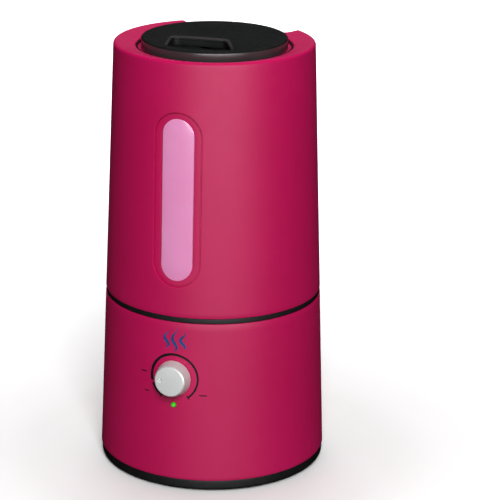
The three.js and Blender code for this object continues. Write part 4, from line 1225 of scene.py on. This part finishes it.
def dialScale():
    look = printLook
    paths = [dialArc(look["start"], look["gap"][0], look["thin"], look["thick"]),
             dialArc(look["gap"][1], look["end"], look["thick"], look["thin"]),
             dialHook(look["start"], look["startHook"]), dialHook(look["end"], look["endHook"])]
    for x, z, length in look["ticks"]:
        paths.append([(x + side * length / 2, z, look["fine"]) for side in (-1, 0, 1)])
    return paths


def wisps():
    look = printLook
    paths = []
    for centre, height, phase in look["wisps"]:
        path = []
        for k in range(look["wispSteps"] + 1):
            t = k / look["wispSteps"]
            x = centre + look["sway"] * math.sin(2 * math.pi * t * look["waves"] + phase)
            width = look["wispThin"] + look["wispSwell"] * math.sin(math.pi * min(1, t * 1.1 + 0.05))
            path.append((x, look["signHeight"] + height * (t - 0.5), width))
        paths.append(path)
    return paths


settle(printed("dial_print", dialScale(), blackInk), "base", "black_abs")
settle(printed("mist_sign", wisps(), blueInk), "base", "dark_blue_finish")
print("printing made")


# Cord gland at the back, with ring grooves where it bends

def atGland(across, up, out):
    return (across, out, glandHeight + up)


glandLook = {"bore": 3.2, "flange": 8.4, "neck": 6.0, "reach": 9.0, "inner": 3, "grooves": 2, "pitch": 1.7,
             "firstGroove": 5.0, "tip": 4.8}


def cordGland():
    look = glandLook
    inside, outside = span("cord_gland", 1)
    face = outside + gap - look["reach"]
    flange, neck = look["flange"], look["neck"]
    corners = [
        (look["bore"], inside, 0.3), (flange, inside, 0.5), (flange, inside + look["inner"], 0.3),
        (neck, inside + look["inner"]), (neck, face + 0.2), (flange, face + 0.8, 0.5),
        (flange, face + 4.0, 0.9), (neck + 0.2, face + 4.6, 0.4)]
    for k in range(look["grooves"]):
        y = face + look["firstGroove"] + k * look["pitch"]
        crest, root = neck - 0.1 - 0.35 * k, neck - 1 - 0.3 * k
        corners += [(crest, y, 0.2), (root, y + 0.4, 0.15), (root, y + 0.9, 0.15),
                    (crest - 0.1, y + 1.3, 0.15)]
    corners += [(look["tip"], outside, 0.4), (look["bore"], outside, 0.3)]
    return turned("rubber_gland", corners, footRubber, segments=64, place=atGland)


settle(cordGland(), "base", "black_rubber", "cord_gland")


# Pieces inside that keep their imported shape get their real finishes

insideFinishes = {
    "fan_housing": satinBlackAbs, "fan_cover": satinBlackAbs, "air_duct": satinBlackAbs,
    "fan_motor": zincSteel, "driver_board": boardResist, "control_board": boardResist,
    "heat_sink": sinkAluminium, "power_transistor": epoxyBlack, "capacitor_1": sleevePvc,
    "capacitor_2": sleevePvc, "choke_coil": copperWire,
    "transformer_core": zincSteel, "transformer_coil": windingTape, "transducer_seal": siliconeRubber,
    "transducer_disc": zincSteel, "transducer_clamp": whitePolypropylene, "reed_switch": whitePolypropylene,
    "pot_body": zincSteel, "pot_nut": zincSteel, "pot_shaft": zincSteel}
for node, material in insideFinishes.items():
    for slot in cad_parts[node].material_slots:
        slot.material = material
print("inside finishes set:", len(insideFinishes))


# Floor, lights and camera

# metres; the floor starts to glow at litFrom and is fully lit at litTo from the middle
stageLook = {"radius": 4.5, "floorRing": 2.0, "wallHeight": 4.0, "surroundTone": "#f4f4f4", "surround": 1.15,
             "world": 0.18, "litFrom": 0.15, "litTo": 0.8, "lit": 0.9}


def stageDisc(name, loops, material, capFirst):
    vertices, faces = lofted(loops, closed=False)
    if capFirst:
        faces.append(tuple(range(len(loops[0]))))
    mesh = bpy.data.meshes.new(name)
    mesh.from_pydata(vertices, [], faces)
    mesh.materials.append(material)
    piece = bpy.data.objects.new(name, mesh)
    bpy.context.scene.collection.objects.link(piece)
    return piece


def circleLoop(radius, z, points=64):
    angles = [2 * math.pi * k / points for k in range(points)]
    return [(radius * math.cos(angle), radius * math.sin(angle), z) for angle in angles]


# Matt painted board: pale, with a faint unevenness, and a painted glow that rises away from the object so it
# has no horizon
floorPaintedGlow = moulded("matt_white_board", {
    "dark": "#f1f1f1", "light": "#f5f5f5", "driftMm": 300, "sheenMm": 60, "roughness": (0.7, 0.85),
    "grainMm": 12, "grainStrength": 0.05, "grainDepthMm": 0.05},
    {"Emission Color": (1, 1, 1, 1)})
tree = floorPaintedGlow.node_tree
# the emission is a painted glow: none near the object, full far off
away = addNode(tree, "ShaderNodeVectorMath", {0: addNode(tree, "ShaderNodeTexCoord").outputs["Object"]},
               operation="LENGTH")
far = addNode(tree, "ShaderNodeMapRange", {
    "Value": away.outputs["Value"], "From Min": stageLook["litFrom"], "From Max": stageLook["litTo"],
    "To Min": 0.0, "To Max": stageLook["lit"]})
tree.links.new(far.outputs[0], tree.nodes["Principled BSDF"].inputs["Emission Strength"])
floorLoops = [circleLoop(stageLook["floorRing"], 0), circleLoop(stageLook["radius"], 0)]
floor = stageDisc("floor", floorLoops, floorPaintedGlow, True)
floor.visible_glossy = False
floor.visible_diffuse = False
surroundPaint = bpy.data.materials.new("pale_surround")
surroundPaint.use_nodes = True
surroundShader = surroundPaint.node_tree.nodes["Principled BSDF"]
surroundShader.inputs["Base Color"].default_value = (0, 0, 0, 1)
surroundShader.inputs["Emission Color"].default_value = hexColour(stageLook["surroundTone"])
surroundShader.inputs["Emission Strength"].default_value = stageLook["surround"]
surroundLoops = [circleLoop(stageLook["radius"], z) for z in (-0.01, stageLook["wallHeight"])]
surround = stageDisc("surround", surroundLoops, surroundPaint, False)
surround.visible_diffuse = False
surround.visible_glossy = False
surround.visible_shadow = False

world = bpy.data.worlds.new("soft_fill")
world.use_nodes = True
world.node_tree.nodes["Background"].inputs["Color"].default_value = (1, 1, 1, 1)
world.node_tree.nodes["Background"].inputs["Strength"].default_value = stageLook["world"]
world.cycles_visibility.glossy = False
bpy.context.scene.world = world

aim = Vector((0, 0, 0.18))
# azimuth is counted from the front towards the right; sizes in metres, power in watts
lights = [
    {"name": "front_box", "azimuth": 25, "height": 1.5, "distance": 2.0, "size": (0.7, 1.2), "power": 50,
     "diffuse": True, "gloss": False},
    {"name": "sheen_box", "azimuth": 27, "height": 0.5, "distance": 2.1, "size": (2.7, 0.95), "power": 72,
     "diffuse": False, "gloss": True},
    {"name": "top_box", "azimuth": 200, "height": 3.0, "distance": 0.45, "size": (1.6, 1.6), "power": 30,
     "diffuse": True, "gloss": False},
    {"name": "edge_box", "azimuth": 190, "height": 1.6, "distance": 1.7, "size": (1.2, 0.5), "power": 1.0,
     "diffuse": False, "gloss": True},
    {"name": "back_fill", "azimuth": 200, "height": 1.2, "distance": 2.4, "size": (2.0, 1.6), "power": 24,
     "diffuse": True, "gloss": False},
]
for look in lights:
    lamp = bpy.data.lights.new(look["name"], "AREA")
    lamp.shape = "RECTANGLE"
    lamp.size, lamp.size_y = look["size"]
    lamp.energy = look["power"]
    light = bpy.data.objects.new(look["name"], lamp)
    angle = math.radians(look["azimuth"])
    light.location = (look["distance"] * math.sin(angle), -look["distance"] * math.cos(angle), look["height"])
    light.rotation_euler = (aim - light.location).to_track_quat("-Z", "Y").to_euler()
    light.visible_camera = False
    light.visible_diffuse = look["diffuse"]
    light.visible_glossy = look["gloss"]
    bpy.context.scene.collection.objects.link(light)

cameraLook = {"place": (0.5717, -1.5706, 0.7253), "turn": (71.722, -0.653, 19.196), "lens": 155.93}
cameraData = bpy.data.cameras.new("view")
cameraData.lens = cameraLook["lens"]
cameraData.sensor_width = 36.0
camera = bpy.data.objects.new("view", cameraData)
camera.location = cameraLook["place"]
camera.rotation_euler = Euler([math.radians(a) for a in cameraLook["turn"]], "XYZ")
bpy.context.scene.collection.objects.link(camera)
bpy.context.scene.camera = camera
bpy.context.scene.view_settings.view_transform = "Standard"
print("stage, lights and camera set")
